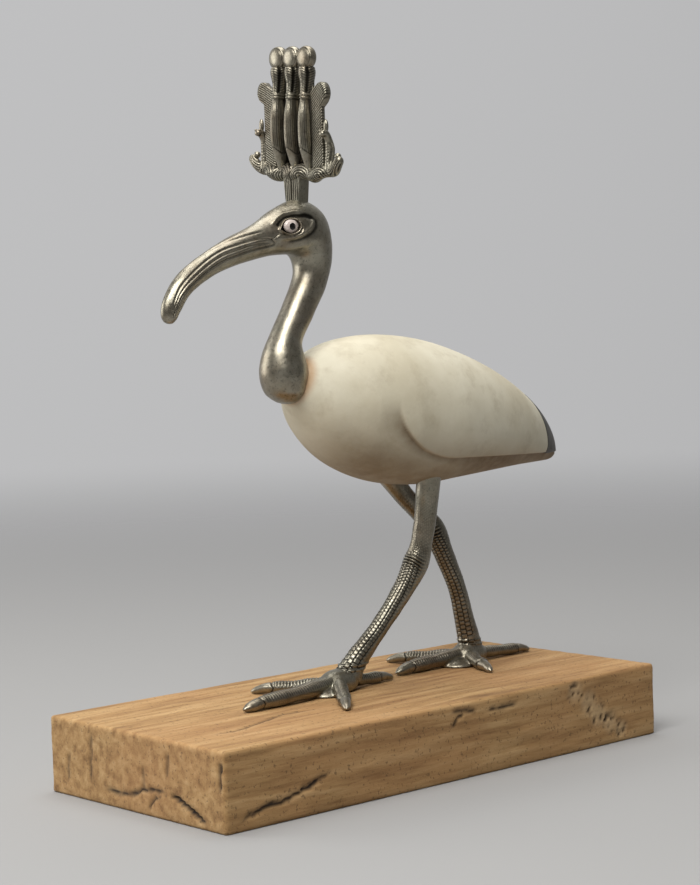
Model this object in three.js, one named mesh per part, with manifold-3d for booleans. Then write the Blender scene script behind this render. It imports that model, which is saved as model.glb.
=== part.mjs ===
// A striding sacred ibis on a wooden plinth, in the ancient Egyptian manner: a gessoed wooden body with
// cast head, neck, crown, legs and tail tip. Millimetres, +Z up. The bird faces -Y and its left is +X.
// The origin is the middle of the plinth's underside.

import * as THREE from 'three';
import { LoftGeometry } from 'three/addons/geometries/LoftGeometry.js';
import { mergeVertices } from 'three/addons/utils/BufferGeometryUtils.js';
import Module from 'manifold-3d';

// Driving dimensions: the plinth
const PLINTH_LENGTH = 387;
const PLINTH_WIDTH = 179;
const PLINTH_HEIGHT = 50;
const PLINTH_CORNER = 7;
const PLINTH_EDGE = 2.5;
const PLINTH_WEAR = 1.2;

// Driving dimensions: the bird as a whole
const BIRD_X = -10;
const SEAM = 0.3;
const WING_STEP = 3;
const WING_START = { y: 6, z: 241 };
const WING_BEND = { length: 60, height: 40 };
const WING_TAIL = { y: 195, z: 195.5 };
const TAIL_CAP = { y: 174.8, z: 203, bow: 9, halfHeight: 30 };

// Driving dimensions: the legs and feet
const HIP_SPREAD = 18.5;
const HIP_Z = 192;
const TOE = { radius: 5.1, flatness: 0.94, knuckle: 0.07, centre: 3.9, rootRise: 3, clawFall: 2.2 };
const CLAW_LENGTH = 15;
const HUB = { across: 11, along: 15, height: 9.5 };
const TOE_THICKNESS = { middle: 1.01, side: 0.86, hallux: 0.8 };
const FOOT_WEB = { across: 17, along: 16, height: 5.5, forward: 13 };

// Driving dimensions: the mouth and the eyes. The mouth's corner and tip are shares of the head's skin.
const MOUTH = { corner: 0.655, tip: 0.95, angle: -0.2, height: 1.5, out: 0.9 };
const EYE = { y: -54.3, z: 358, out: 12.6, long: 5.8, high: 4.4, deep: 3 };
const EYELID = { long: 6.9, high: 5.5, tube: 1.3 };

// Driving dimensions: the crown
const CROWN_Y = -37.7;
const CROWN_FALL = 0.085;
const STEM = { footWidth: 12.8, topWidth: 16.4, depth: 9.4, foot: 373.5, top: 390, ribs: 3, ribDepth: 0.7 };
const HORN = {
  x: 1.2, z: 393.3, start: -1.5, reach: 44.5, pitch: 19.5, crest: 8, wave: 1.3, radius: 5.3, tip: 3,
};
const HORN_CURL = { from: 0.55, height: 10, ball: 2.3, ballIn: 4.5, ballZ: 404.5 };
const BUNDLE = { gap: 13.8, foot: 396, top: 461.5, bulge: 2 };
const WEB = { halfWidth: 17, front: 1.6, back: 3.4, foot: 395, top: 456 };
const SUN = { z: 467.6, radius: 7.7, depth: 4.4 };
const FEATHER = {
  inner: 18, outer: 28, foot: 395, top: 452, curl: 34.3, curlWidth: 5.6, curlRadius: 6.8,
  depth: 4.4, barb: 2.9, notch: 0.9, leftSlope: 42, rightSlope: 25,
};
const COBRA = { x: 32, foot: 395, hood: 409, head: 419, crest: 423.6, crestHalf: 4.6 };

const wasm = await Module();
wasm.setup();

// Helpers for shapes

const vector = (x, y, z) => new THREE.Vector3(x, y, z);

// 0 below the start, 1 above the end, and a smooth rise between them.
const rise = (value, start, end) => THREE.MathUtils.smoothstep(value, start, end);

// A smooth curve through stations, read at t from 0 at the first to 1 at the last.
function through(stations) {
  const curve = new THREE.CatmullRomCurve3(stations.map((s) => vector(...s)), false, 'centripetal');
  return (t) => curve.getPoint(THREE.MathUtils.clamp(t, 0, 1));
}

// Even steps from 0 to 1.
const evenSteps = (count) => Array.from({ length: count + 1 }, (_, i) => i / count);

// 1 along the form, falling to 0 at an end as a dome that takes up the given share of the length.
function dome(t, startShare, endShare) {
  const start = startShare > 0 ? Math.min(1, t / startShare) : 1;
  const end = endShare > 0 ? Math.min(1, (1 - t) / endShare) : 1;
  return Math.sqrt(start * (2 - start)) * Math.sqrt(end * (2 - end));
}

// A closed three.js geometry as a solid with its faces pointing out.
function solid(geometry) {
  const bare = new THREE.BufferGeometry();
  bare.setAttribute('position', geometry.getAttribute('position').clone());
  if (geometry.index) bare.setIndex(geometry.index);
  const merged = mergeVertices(bare, 1e-4);
  const position = merged.getAttribute('position');
  const index = merged.index.array;
  const corners = [];
  let volume = 0;
  const [a, b, c] = [vector(), vector(), vector()];
  for (let i = 0; i < index.length; i += 3) {
    const [p, q, r] = [index[i], index[i + 1], index[i + 2]];
    if (p === q || q === r || r === p) continue;
    corners.push(p, q, r);
    a.fromBufferAttribute(position, p);
    b.fromBufferAttribute(position, q);
    c.fromBufferAttribute(position, r);
    volume += a.dot(b.cross(c));
  }
  if (volume < 0) corners.reverse();
  return new wasm.Manifold(new wasm.Mesh({
    numProp: 3,
    vertProperties: new Float32Array(position.array),
    triVerts: new Uint32Array(corners),
  }));
}

// A solid skinned over rings of points, its two ends closed by fans to their middles.
function loft(rings) {
  const middle = (ring) => ring.reduce((sum, p) => sum.add(p), vector()).divideScalar(ring.length);
  const first = middle(rings[0]);
  const last = middle(rings[rings.length - 1]);
  return solid(new LoftGeometry([rings[0].map(() => first), ...rings, rings[0].map(() => last)]));
}

// A solid whose oval section follows a path. size(t) gives the half sizes across and along `lean`.
function sweep({ path, size, lean, steps, sides }) {
  const nudge = 1e-3;
  const rings = steps.map((t) => {
    const centre = path(t);
    const tangent = path(t + nudge).sub(path(t - nudge)).normalize();
    const up = lean.clone().addScaledVector(tangent, -lean.dot(tangent)).normalize();
    const across = vector().crossVectors(up, tangent);
    const [wide, high] = size(t);
    return Array.from({ length: sides }, (_, i) => {
      const angle = 2 * Math.PI * i / sides;
      return centre.clone()
        .addScaledVector(across, wide * Math.cos(angle))
        .addScaledVector(up, high * Math.sin(angle));
    });
  });
  return loft(rings);
}

// A flat outline of [y, z] points, given thickness along X from x0 to x1.
function sidePrism(points, x0, x1) {
  return loft([x0, x1].map((x) => points.map(([y, z]) => vector(x, y, z))));
}

// A ball stretched along X, Y and Z.
function ovoid(centre, radii, around = 12, rows = 8) {
  const geometry = new THREE.SphereGeometry(1, around, rows);
  geometry.rotateX(Math.PI / 2).scale(...radii).translate(centre.x, centre.y, centre.z);
  return solid(geometry);
}

const join = (...solids) => solids.reduce((whole, next) => whole.add(next));

const group = new THREE.Group();

function putIn(name, form, material) {
  const { vertProperties, triVerts } = form.getMesh();
  const geometry = new THREE.BufferGeometry();
  geometry.setAttribute('position', new THREE.BufferAttribute(vertProperties, 3));
  geometry.setIndex(new THREE.BufferAttribute(triVerts, 1));
  geometry.computeVertexNormals();
  const mesh = new THREE.Mesh(geometry, material);
  mesh.name = name;
  group.add(mesh);
}

// Materials

const wood = new THREE.MeshStandardMaterial({ color: 0xb08a5b, roughness: 0.85, metalness: 0 });
const gesso = new THREE.MeshStandardMaterial({ color: 0xe4dec8, roughness: 0.8, metalness: 0 });
const silver = new THREE.MeshStandardMaterial({ color: 0x8a867a, roughness: 0.35, metalness: 0.9 });
const darkMetal = new THREE.MeshStandardMaterial({ color: 0x55544f, roughness: 0.55, metalness: 0.8 });
const inlay = new THREE.MeshStandardMaterial({ color: 0xcfc8b8, roughness: 0.25, metalness: 0 });

// The plinth: a sawn plank whose corners and edges are worn round

function plinthRing(z, inset) {
  const halfX = PLINTH_WIDTH / 2 - inset;
  const halfY = PLINTH_LENGTH / 2 - inset;
  const corners = [[1, -1, -90], [1, 1, 0], [-1, 1, 90], [-1, -1, 180]];
  const ring = [];
  corners.forEach(([sideX, sideY, from], corner) => {
    for (let i = 0; i <= 3; i += 1) {
      const angle = THREE.MathUtils.degToRad(from + 30 * i);
      ring.push(vector(
        sideX * (halfX - PLINTH_CORNER) + PLINTH_CORNER * Math.cos(angle),
        sideY * (halfY - PLINTH_CORNER) + PLINTH_CORNER * Math.sin(angle),
        z,
      ));
    }
    const along = corner % 2 === 0;
    const count = along ? 5 : 2;
    const reach = along ? halfY - PLINTH_CORNER : halfX - PLINTH_CORNER;
    for (let i = 1; i <= count; i += 1) {
      const share = i / (count + 1);
      const run = reach * (2 * share - 1);
      const dent = PLINTH_WEAR * (0.5 + 0.5 * Math.sin(2.3 * i + 1.7 * corner)) * Math.sin(Math.PI * share);
      ring.push(along
        ? vector(sideX * (halfX - dent), sideX * run, z)
        : vector(-sideY * run, sideY * (halfY - dent), z));
    }
  });
  return ring;
}

const plinth = loft([
  plinthRing(0, PLINTH_EDGE),
  plinthRing(PLINTH_EDGE, 0.3),
  plinthRing(PLINTH_HEIGHT / 2, 0),
  plinthRing(PLINTH_HEIGHT - PLINTH_EDGE, 0.4),
  plinthRing(PLINTH_HEIGHT, PLINTH_EDGE),
]);

// The body: rings across the bird from the stub at the neck to the tail

// Each station is y, the top and the underside. The half width has the same places along the body.
const bodyProfile = [
  [-52, 263, 247], [-44, 268, 235], [-30, 275.5, 216], [-8, 283, 198.5], [22, 286, 186.5],
  [58, 282.5, 182], [92, 273.5, 183.8], [126, 260.5, 186], [156, 245, 187.8], [180, 228.5, 188.7],
  [195, 213, 189.5], [202.5, 200, 192],
];
const bodyHalfWidths = [8, 16, 31, 44, 51, 52, 48, 40, 29, 18, 9, 2.5];
const bodySpine = through(bodyProfile);
const bodyWidth = through(bodyHalfWidths.map((w, i) => [w, i, 0]));

// The wing's lower edge is a quarter of an oval behind the shoulder and then a straight run to the tail.
// This is how far a point on the flank lies outside that edge, and less than 0 inside it.
function outsideWing(y, z) {
  const middleY = WING_START.y + WING_BEND.length;
  if (y > middleY) {
    const run = (y - middleY) / (WING_TAIL.y - middleY);
    return THREE.MathUtils.lerp(WING_START.z - WING_BEND.height, WING_TAIL.z, run) - z;
  }
  const acrossOval = (y - middleY) / WING_BEND.length;
  const upOval = Math.min(0, (z - WING_START.z) / WING_BEND.height);
  return (Math.hypot(acrossOval, upOval) - 1) * WING_BEND.height;
}

// How deep the breast and belly are cut back beside the wing's edge, fading away from it.
function bellyCut(y, z) {
  const outside = Math.max(0, outsideWing(y, z));
  const fadeUp = 1 - rise(z, WING_START.z - 22, WING_START.z + 4);
  return WING_STEP * fadeUp * Math.exp(-outside / 16) * (1 - 0.6 * rise(y, 150, 200));
}

function bodyRing(t, cutBack, sides, lowered = 0) {
  const { x: y, y: top, z: under } = bodySpine(t);
  const half = Math.max(0.5, bodyWidth(t).x);
  const widestShare = THREE.MathUtils.lerp(0.47, 0.3, rise(t, 0.3, 1));
  const widest = under + (top - under) * widestShare;
  return Array.from({ length: sides }, (_, i) => {
    const angle = 2 * Math.PI * i / sides - Math.PI / 2;
    const [c, s] = [Math.cos(angle), Math.sin(angle)];
    const across = Math.sign(c) * Math.abs(c) ** 0.92;
    const height = s > 0 ? (top - widest) * s : (widest - under) * s;
    const z = widest + height;
    const cut = cutBack ? bellyCut(y, z) * Math.abs(across) : 0;
    return vector(BIRD_X + across * (half - cut), y, z + cut * 0.3 - lowered);
  });
}

const bodySteps = evenSteps(23);
const fullBody = loft(bodySteps.map((t) => bodyRing(t, false, 20)));
const bodyCore = loft(bodySteps.map((t) => bodyRing(t, true, 20)));

const wingOutline = [[WING_TAIL.y + 20, WING_TAIL.z], [WING_TAIL.y + 20, 300], [WING_START.y, 300]];
for (let i = 0; i <= 8; i += 1) {
  const angle = Math.PI / 2 * i / 8;
  wingOutline.push([
    WING_START.y + WING_BEND.length * (1 - Math.cos(angle)),
    WING_START.z - WING_BEND.height * Math.sin(angle),
  ]);
}
const wings = fullBody.intersect(sidePrism(wingOutline, -100, 100));

// The tail cap lies behind a bowed line and above the wings' lower edge.
function tailRegion(gap) {
  const outline = [[240, WING_TAIL.z + 0.2 - gap], [240, 260]];
  for (let i = 0; i <= 8; i += 1) {
    const z = THREE.MathUtils.lerp(TAIL_CAP.z + 1.2 * TAIL_CAP.halfHeight, WING_TAIL.z + 0.2 - gap, i / 8);
    outline.push([TAIL_CAP.y - gap - TAIL_CAP.bow * ((z - TAIL_CAP.z) / TAIL_CAP.halfHeight) ** 2, z]);
  }
  return sidePrism(outline, -60, 40);
}

const tailCap = fullBody.intersect(tailRegion(0));

// Head, neck and bill: one skin between two edges seen from the side, the outer one over the nape,
// crown of the head and bill, the inner one up the front of the neck and under the bill.

// Each station is the outer edge's y and z, the inner edge's y and z, and the half width.
const headStations = [
  [-44, 243.5, -55, 242.4, 6],
  [-39, 252, -66, 250, 14],
  [-37.3, 263, -70, 262, 16.2],
  [-39.3, 273, -68, 276, 14],
  [-41, 281.5, -61.5, 289, 11.2],
  [-30, 299.5, -49.5, 309, 10.7],
  [-17.5, 321, -39.6, 329, 11.8],
  [-13.3, 345, -41, 337.8, 15],
  [-21, 368, -45, 339.8, 17.3],
  [-38, 376, -50, 340.2, 17],
  [-56, 370.5, -57, 340, 13.8],
  [-75, 360.2, -70, 338.3, 9.6],
  [-111.4, 344.5, -104.6, 329.5, 6.8],
  [-138.4, 327.6, -128.8, 316.4, 6],
  [-150, 311, -137.8, 305, 5.2],
  [-151, 303, -141.2, 300, 4.4],
  [-149, 298.4, -144.5, 297.4, 2.2],
];
const outerEdge = through(headStations.map(([y, z]) => [0, y, z]));
const innerEdge = through(headStations.map(([, , y, z]) => [0, y, z]));
const headWidth = through(headStations.map((s, i) => [s[4], i, 0]));

// A point of this skin, grown outwards a little. Angle 0 is the left side, a quarter turn the outer edge.
function headPoint(t, angle, grow) {
  const outer = outerEdge(t);
  const inner = innerEdge(t);
  const middle = outer.clone().add(inner).multiplyScalar(0.5);
  const reach = outer.clone().sub(inner).multiplyScalar(0.5);
  reach.setLength(reach.length() + grow);
  const half = headWidth(t).x + grow;
  return middle.addScaledVector(reach, Math.sin(angle)).add(vector(BIRD_X + half * Math.cos(angle), 0, 0));
}

const headRing = (t, grow, sides) => Array.from({ length: sides }, (_, i) => (
  headPoint(t, 2 * Math.PI * i / sides, grow)));

const wholeHead = loft(evenSteps(35).map((t) => headRing(t, 0, 14)));
const bulbAndSeam = loft(evenSteps(12).map((t) => headRing(0.33 * t, SEAM, 20)));

// The mouth: a raised band along each side of the bill, from its corner below the eye to near the tip.
function mouthBand(side) {
  const angle = side > 0 ? MOUTH.angle : Math.PI - MOUTH.angle;
  return sweep({
    path: (t) => headPoint(THREE.MathUtils.lerp(MOUTH.corner, MOUTH.tip, t), angle, 0),
    size: (t) => [MOUTH.height * dome(t, 0.1, 0.1), MOUTH.out * dome(t, 0.1, 0.1)],
    lean: vector(1, 0, 0),
    steps: [0, 0.05, ...evenSteps(7).slice(1, 7), 0.95, 1],
    sides: 4,
  });
}

// The eyes: inlays in sockets, each in a raised lid under a brow

function eyeball(side, grow) {
  const centre = vector(BIRD_X + side * EYE.out, EYE.y, EYE.z);
  return ovoid(centre, [EYE.deep + grow, EYE.long + grow, EYE.high + grow], 10, 6);
}

function eyelid(side) {
  const ring = new THREE.TorusGeometry(1, 1, 4, 14);
  const position = ring.getAttribute('position');
  for (let i = 0; i < position.count; i += 1) {
    const around = Math.atan2(position.getY(i), position.getX(i));
    const offset = Math.hypot(position.getX(i), position.getY(i)) - 1;
    position.setXYZ(
      i,
      BIRD_X + side * (EYE.out + 1 + EYELID.tube * position.getZ(i)),
      EYE.y + (EYELID.long + EYELID.tube * offset) * Math.cos(around),
      EYE.z + (EYELID.high + EYELID.tube * offset) * Math.sin(around),
    );
  }
  return solid(ring);
}

const eyeNodes = { left_eye: eyeball(1, 0), right_eye: eyeball(-1, 0) };
let headAndNeck = join(wholeHead, mouthBand(1), mouthBand(-1), eyelid(1), eyelid(-1));
headAndNeck = headAndNeck.subtract(eyeball(1, SEAM)).subtract(eyeball(-1, SEAM));

// Legs and feet

// A toe from the hub to its tip on the plinth, with knuckles, and a claw that narrows to the tip.
function toe(hub, tip, bend, thickness) {
  const sole = PLINTH_HEIGHT + SEAM;
  const along = vector(tip[0] - hub.x, tip[1] - hub.y, 0);
  const length = along.length();
  const aside = vector(-along.y, along.x, 0).normalize();
  const path = (t) => hub.clone()
    .addScaledVector(along, t)
    .addScaledVector(aside, bend * Math.sin(Math.PI * t))
    .setZ(sole + TOE.centre * thickness + TOE.rootRise * (1 - t) ** 2 - TOE.clawFall * rise(t, 0.8, 1));
  const claw = 1 - CLAW_LENGTH / length;
  const size = (t) => {
    const knuckle = 1 + TOE.knuckle * Math.cos(6 * Math.PI * t);
    const taper = THREE.MathUtils.lerp(1.12, 0.92, t) * knuckle;
    const nail = t > claw ? 1 - 0.6 * ((t - claw) / (1 - claw)) ** 2 : 1;
    const radius = TOE.radius * thickness * taper * nail * dome(t, 0, 0.07);
    return [radius, radius * TOE.flatness];
  };
  const steps = [...evenSteps(7).slice(0, 7), 0.92, 0.97, 1];
  return sweep({ path, size, lean: vector(0, 0, 1), steps, sides: 8 });
}

// Everything up to a seam above the plinth, for cutting the soles flat.
const ground = loft([-PLINTH_HEIGHT, PLINTH_HEIGHT + SEAM].map((z) => (
  [[-1, -1], [1, -1], [1, 1], [-1, 1]].map(([x, y]) => vector(x * PLINTH_LENGTH, y * PLINTH_LENGTH, z)))));

// A leg's stations are x, y and z down the shank, and its radii go with them.
function leg({ stations, radii, hub, tips, bends }) {
  const path = through(stations);
  const radius = through(radii.map((r, i) => [r, i, 0]));
  const shank = sweep({
    path,
    size: (t) => [radius(t).x * 0.94, radius(t).x * 1.04],
    lean: vector(0, 1, 0),
    steps: evenSteps(14),
    sides: 10,
  });
  const palm = ovoid(hub, [HUB.across, HUB.along, HUB.height], 10, 5);
  const web = ovoid(
    hub.clone().add(vector(0, -FOOT_WEB.forward, PLINTH_HEIGHT - hub.z)),
    [FOOT_WEB.across, FOOT_WEB.along, FOOT_WEB.height],
    10,
    4,
  );
  const { middle, side, hallux } = TOE_THICKNESS;
  const toes = tips.map((tip, i) => toe(hub, tip, bends[i], [middle, side, side, hallux][i]));
  const whole = join(shank, palm, web, ...toes);
  return whole.subtract(ground);
}

const leftLeg = leg({
  stations: [
    [BIRD_X + HIP_SPREAD, 57.5, HIP_Z], [4.5, 57.5, 165], [1, 55.5, 142], [-1, 51.5, 128.5],
    [-2.5, 41.5, 113], [-4, 18, 87.5], [-4, -5, 67], [-4, -11.5, 58],
  ],
  radii: [8.8, 7.9, 7.6, 9.1, 7.3, 6.4, 7.9, 9.8],
  hub: vector(-4, -20, 55.5),
  tips: [[6, -110.6], [-43.8, -63.3], [53.6, -64.4], [-8.7, 34.6]],
  bends: [3, 3, 0, 0],
});

const rightLeg = leg({
  stations: [
    [BIRD_X - HIP_SPREAD, 50, HIP_Z], [-26, 68, 171], [-23, 81, 157.5], [-20.5, 88.5, 147],
    [-18.5, 94.5, 132], [-16.5, 106, 104], [-16.5, 113.5, 77], [-16.5, 118, 60],
  ],
  radii: [8.2, 7, 7.2, 8.4, 7.2, 6.4, 7.4, 8.6],
  hub: vector(-16.5, 116, 55.5),
  tips: [[-15.8, 43.5], [-63, 78.4], [28.6, 92.6], [-17, 179.5]],
  bends: [0, 3, -2, 0],
});

// The crown: one casting, a little crooked, so that its left side hangs lower than its right

const crownPoint = (x, y, z) => vector(BIRD_X + x, CROWN_Y + y, z - CROWN_FALL * x);

// The stem's plan has upright ribs on its front, in two bands with a bare strip between them.
function crownStem() {
  const plan = (width) => {
    const ring = [];
    const band = width / 2 - 1;
    for (const side of [-1, 1]) {
      for (let i = 0; i <= 2 * STEM.ribs; i += 1) {
        const run = side < 0 ? i : 2 * STEM.ribs - i;
        const groove = i % 2 === 1 ? 0 : STEM.ribDepth;
        ring.push([side * (width / 2 - band * run / (2 * STEM.ribs)), groove - STEM.depth / 2]);
      }
    }
    ring.push([width / 2, STEM.depth / 2], [-width / 2, STEM.depth / 2]);
    return ring;
  };
  const level = (width, z) => plan(width).map(([x, y]) => vector(BIRD_X + x, CROWN_Y + y, z));
  return loft([level(STEM.footWidth, STEM.foot), level(STEM.topWidth, STEM.top)]);
}

// A wavy ram's horn: a corkscrew that goes out level from the stem and curls up at its tip.
function horn(side) {
  const path = (t) => {
    const out = THREE.MathUtils.lerp(HORN.start, HORN.reach, t);
    const turn = 2 * Math.PI * (out - HORN.crest) / HORN.pitch;
    const curl = HORN_CURL.height * (Math.max(0, t - HORN_CURL.from) / (1 - HORN_CURL.from)) ** 2;
    const height = HORN.z + HORN.wave * Math.cos(turn) + curl;
    return crownPoint(HORN.x + side * out, HORN.wave * Math.sin(turn), height);
  };
  const size = (t) => {
    const radius = THREE.MathUtils.lerp(HORN.radius, HORN.tip, t ** 1.6) * dome(t, 0, 0.05);
    return [radius, radius];
  };
  const steps = [...evenSteps(14).slice(0, 13), 0.95, 0.98, 1];
  return sweep({ path, size, lean: vector(0, 1, 0), steps, sides: 8 });
}

const hornBall = (side) => ovoid(
  crownPoint(HORN.x + side * (HORN.reach - HORN_CURL.ballIn), 0, HORN_CURL.ballZ),
  [HORN_CURL.ball, HORN_CURL.ball, HORN_CURL.ball],
  6,
  4,
);

// A tied bundle of papyrus: a bud-like foot, a tie near the top and a flared head under the sun disc.
// Its stations are the half width along X, the share of the height and the half depth along Y.
const bundleStations = through([
  [1.6, 0, 2.4], [3.4, 0.15, 4.8], [4.3, 0.3, 6.6], [4, 0.5, 6.2],
  [3, 0.68, 4.8], [3.4, 0.8, 5], [5.2, 0.95, 6.2], [4.7, 1, 5.6],
]);

function bundle(place) {
  const path = (t) => {
    const share = bundleStations(t).y;
    const forward = BUNDLE.bulge * Math.sin(Math.PI * Math.min(1, share / 0.85));
    return crownPoint(place * BUNDLE.gap, -forward, THREE.MathUtils.lerp(BUNDLE.foot, BUNDLE.top, share));
  };
  const size = (t) => [bundleStations(t).z, bundleStations(t).x];
  return sweep({ path, size, lean: vector(1, 0, 0), steps: evenSteps(9), sides: 8 });
}

const sunDisc = (place) => ovoid(
  crownPoint(place * BUNDLE.gap, 0, SUN.z),
  [SUN.radius, SUN.depth, SUN.radius],
  10,
  6,
);

// A feather: a plate with a curled top, whose front is cut into slanting barbs.
function feather(side) {
  const { inner, outer, foot, top, curl, curlRadius } = FEATHER;
  const outline = [[inner, foot], [outer - 3, foot], [outer, foot + 12], [outer, top - 2 * curlRadius - 1]];
  const arcSteps = 8;
  for (let i = 0; i <= arcSteps; i += 1) {
    const angle = THREE.MathUtils.degToRad(-75 + 255 * i / arcSteps);
    const inward = 1.2 * Math.max(0, i - arcSteps / 2);
    outline.push([
      curl - FEATHER.curlWidth + FEATHER.curlWidth * Math.cos(angle) - inward,
      top - curlRadius + curlRadius * Math.sin(angle),
    ]);
  }
  outline.push([inner, top - 14]);
  const plate = loft([-1, 1].map((face) => outline
    .map(([x, z]) => crownPoint(side * x, face * FEATHER.depth / 2, z))));

  const slope = THREE.MathUtils.degToRad(side > 0 ? FEATHER.leftSlope : FEATHER.rightSlope);
  const run = vector(side * Math.cos(slope), 0, Math.sin(slope));
  const rowDirection = vector(-side * Math.sin(slope), 0, Math.cos(slope));
  const middle = crownPoint(side * outer, 0, (foot + top) / 2);
  const rows = 30;
  const back = 2 * FEATHER.depth;
  const ridges = [];
  for (let i = -rows; i <= rows; i += 1) {
    const depth = Math.abs(i % 2) === 1 ? 0 : FEATHER.notch;
    ridges.push([i * FEATHER.barb / 2, depth - FEATHER.depth / 2]);
  }
  ridges.push([rows * FEATHER.barb / 2, back], [-rows * FEATHER.barb / 2, back]);
  const barbs = loft([-60, 60].map((reach) => ridges.map(([row, y]) => middle.clone()
    .addScaledVector(run, reach)
    .addScaledVector(rowDirection, row)
    .add(vector(0, y, 0)))));
  return plate.intersect(barbs);
}

// A rearing cobra that faces forward, its hood spread and a slim crest on its head.
// Its stations are how far back it lies and how high, and its half widths along X and along Y.
const cobraStations = [
  [0, COBRA.foot], [1, 402], [1.5, COBRA.hood], [0.5, 415], [-2.6, COBRA.head], [-6.5, COBRA.head - 1],
];
const cobraSizes = through([
  [3, 0, 3], [3.4, 1, 2.8], [4.2, 2, 2.6], [2.8, 3, 2.4], [2.9, 4, 2.6], [1.8, 5, 1.6],
]);

function cobra(side) {
  const body = sweep({
    path: through(cobraStations.map(([y, z]) => crownPoint(side * COBRA.x, y, z).toArray())),
    size: (t) => [cobraSizes(t).z * dome(t, 0, 0.08), cobraSizes(t).x * dome(t, 0, 0.08)],
    lean: vector(1, 0, 0),
    steps: [...evenSteps(7).slice(0, 7), 0.95, 1],
    sides: 6,
  });
  const crest = ovoid(crownPoint(side * COBRA.x, -1.2, COBRA.crest), [1.9, 1.5, COBRA.crestHalf], 6, 4);
  return body.add(crest);
}

// The plate behind the bundles that the casting leaves between them.
const crownWeb = loft([WEB.front, WEB.back].map((y) => [
  crownPoint(-WEB.halfWidth, y, WEB.foot),
  crownPoint(WEB.halfWidth, y, WEB.foot),
  crownPoint(WEB.halfWidth, y, WEB.top),
  crownPoint(-WEB.halfWidth, y, WEB.top),
]));

const crownParts = [crownStem(), crownWeb];
for (const place of [-1, 0, 1]) crownParts.push(bundle(place), sunDisc(place));
for (const side of [-1, 1]) crownParts.push(horn(side), hornBall(side), feather(side), cobra(side));
const crown = join(...crownParts);

const stemSeat = loft([STEM.foot - SEAM, STEM.top + 10].map((z) => {
  const halfX = STEM.topWidth / 2 + SEAM;
  const halfY = STEM.depth / 2 + SEAM;
  return [[-halfX, -halfY], [halfX, -halfY], [halfX, halfY], [-halfX, halfY]]
    .map(([x, y]) => vector(BIRD_X + x, CROWN_Y + y, z));
}));
headAndNeck = headAndNeck.subtract(stemSeat);

// The pieces in their places

const body = join(bodyCore, wings).subtract(tailRegion(SEAM)).subtract(bulbAndSeam);
const clearOfBody = loft(bodySteps.map((t) => bodyRing(t, false, 20, SEAM)));

putIn('plinth', plinth, wood);
putIn('body', body, gesso);
putIn('tail_cap', tailCap, darkMetal);
putIn('head_and_neck', headAndNeck, silver);
putIn('crown', crown, silver);
putIn('left_leg', leftLeg.subtract(clearOfBody), silver);
putIn('right_leg', rightLeg.subtract(clearOfBody), silver);
for (const [name, form] of Object.entries(eyeNodes)) putIn(name, form, inlay);

export default group;
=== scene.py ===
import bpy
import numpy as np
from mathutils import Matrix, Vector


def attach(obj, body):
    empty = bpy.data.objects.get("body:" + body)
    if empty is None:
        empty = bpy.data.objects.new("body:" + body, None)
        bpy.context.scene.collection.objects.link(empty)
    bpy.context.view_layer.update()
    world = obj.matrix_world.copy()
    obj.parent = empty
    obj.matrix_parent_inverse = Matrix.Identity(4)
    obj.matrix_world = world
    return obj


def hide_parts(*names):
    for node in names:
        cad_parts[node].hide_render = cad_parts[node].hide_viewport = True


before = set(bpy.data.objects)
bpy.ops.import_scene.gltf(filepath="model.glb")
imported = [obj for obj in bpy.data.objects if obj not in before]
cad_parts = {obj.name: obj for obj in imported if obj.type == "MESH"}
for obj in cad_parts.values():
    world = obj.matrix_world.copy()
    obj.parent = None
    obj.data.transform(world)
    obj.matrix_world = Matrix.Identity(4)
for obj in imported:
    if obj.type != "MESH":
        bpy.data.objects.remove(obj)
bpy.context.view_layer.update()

# %% [markdown]
# # A striding ibis of gessoed wood and cast metal
# The real bird is a wooden body covered in fine plaster, with a head and neck, a crown, two legs and a
# tail tip cast in metal, on a worn wooden plinth. The solids that were just loaded give every piece its
# place and size. This lesson makes the fine surface of each piece over its solid, gives it a finish, and
# sets up a camera and lights to photograph the whole in plain studio light. Shapes are worked out in
# millimetres and become metres only when a mesh is made.

MM = 0.001

# %% [markdown]
# ## The camera
# A photograph is matched best when the camera comes first, because then every later render can be laid
# beside it. The place, heading, tilt and roll below were worked out from the plinth's visible edges. The
# lens is long, so the bird shows little perspective.

# %% The camera
CAMERA_PLACE = (1.0607, -0.9630, 0.3070)
CAMERA_HEADING = np.radians(47.96)
CAMERA_TILT = 0.0642
CAMERA_ROLL = 0.0305
CAMERA_LENS = 87.68

camera_data = bpy.data.cameras.new("camera")
camera_data.lens = CAMERA_LENS
camera = bpy.data.objects.new("camera", camera_data)
bpy.context.scene.collection.objects.link(camera)
camera.matrix_world = (
    Matrix.Translation(CAMERA_PLACE)
    @ Matrix.Rotation(CAMERA_HEADING, 4, "Z")
    @ Matrix.Rotation(np.pi / 2 - CAMERA_TILT, 4, "X")
    @ Matrix.Rotation(-CAMERA_ROLL, 4, "Z")
)
bpy.context.scene.camera = camera
print("camera stands", round(Vector(CAMERA_PLACE).length, 3), "m from the origin")

# %% [markdown]
# ## Curves through stations
# A carver sets out a form by its sections at a few stations and fairs the wood between them. The same
# idea works here: a piece is a short list of stations, and a smooth curve runs through them.

# %% Smooth curves


def rise(value, start, end):
    """0 below the start, 1 above the end, and between them 3s^2 - 2s^3 of the share s."""
    share = np.clip((value - start) / (end - start), 0, 1)
    return share * share * (3 - 2 * share)


def mix(first, second, share):
    """The value a share of the way from the first to the second."""
    return first + (second - first) * share


def unit(vectors):
    """The vectors at length 1."""
    return vectors / np.maximum(np.linalg.norm(vectors, axis=-1, keepdims=True), 1e-12)


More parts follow.
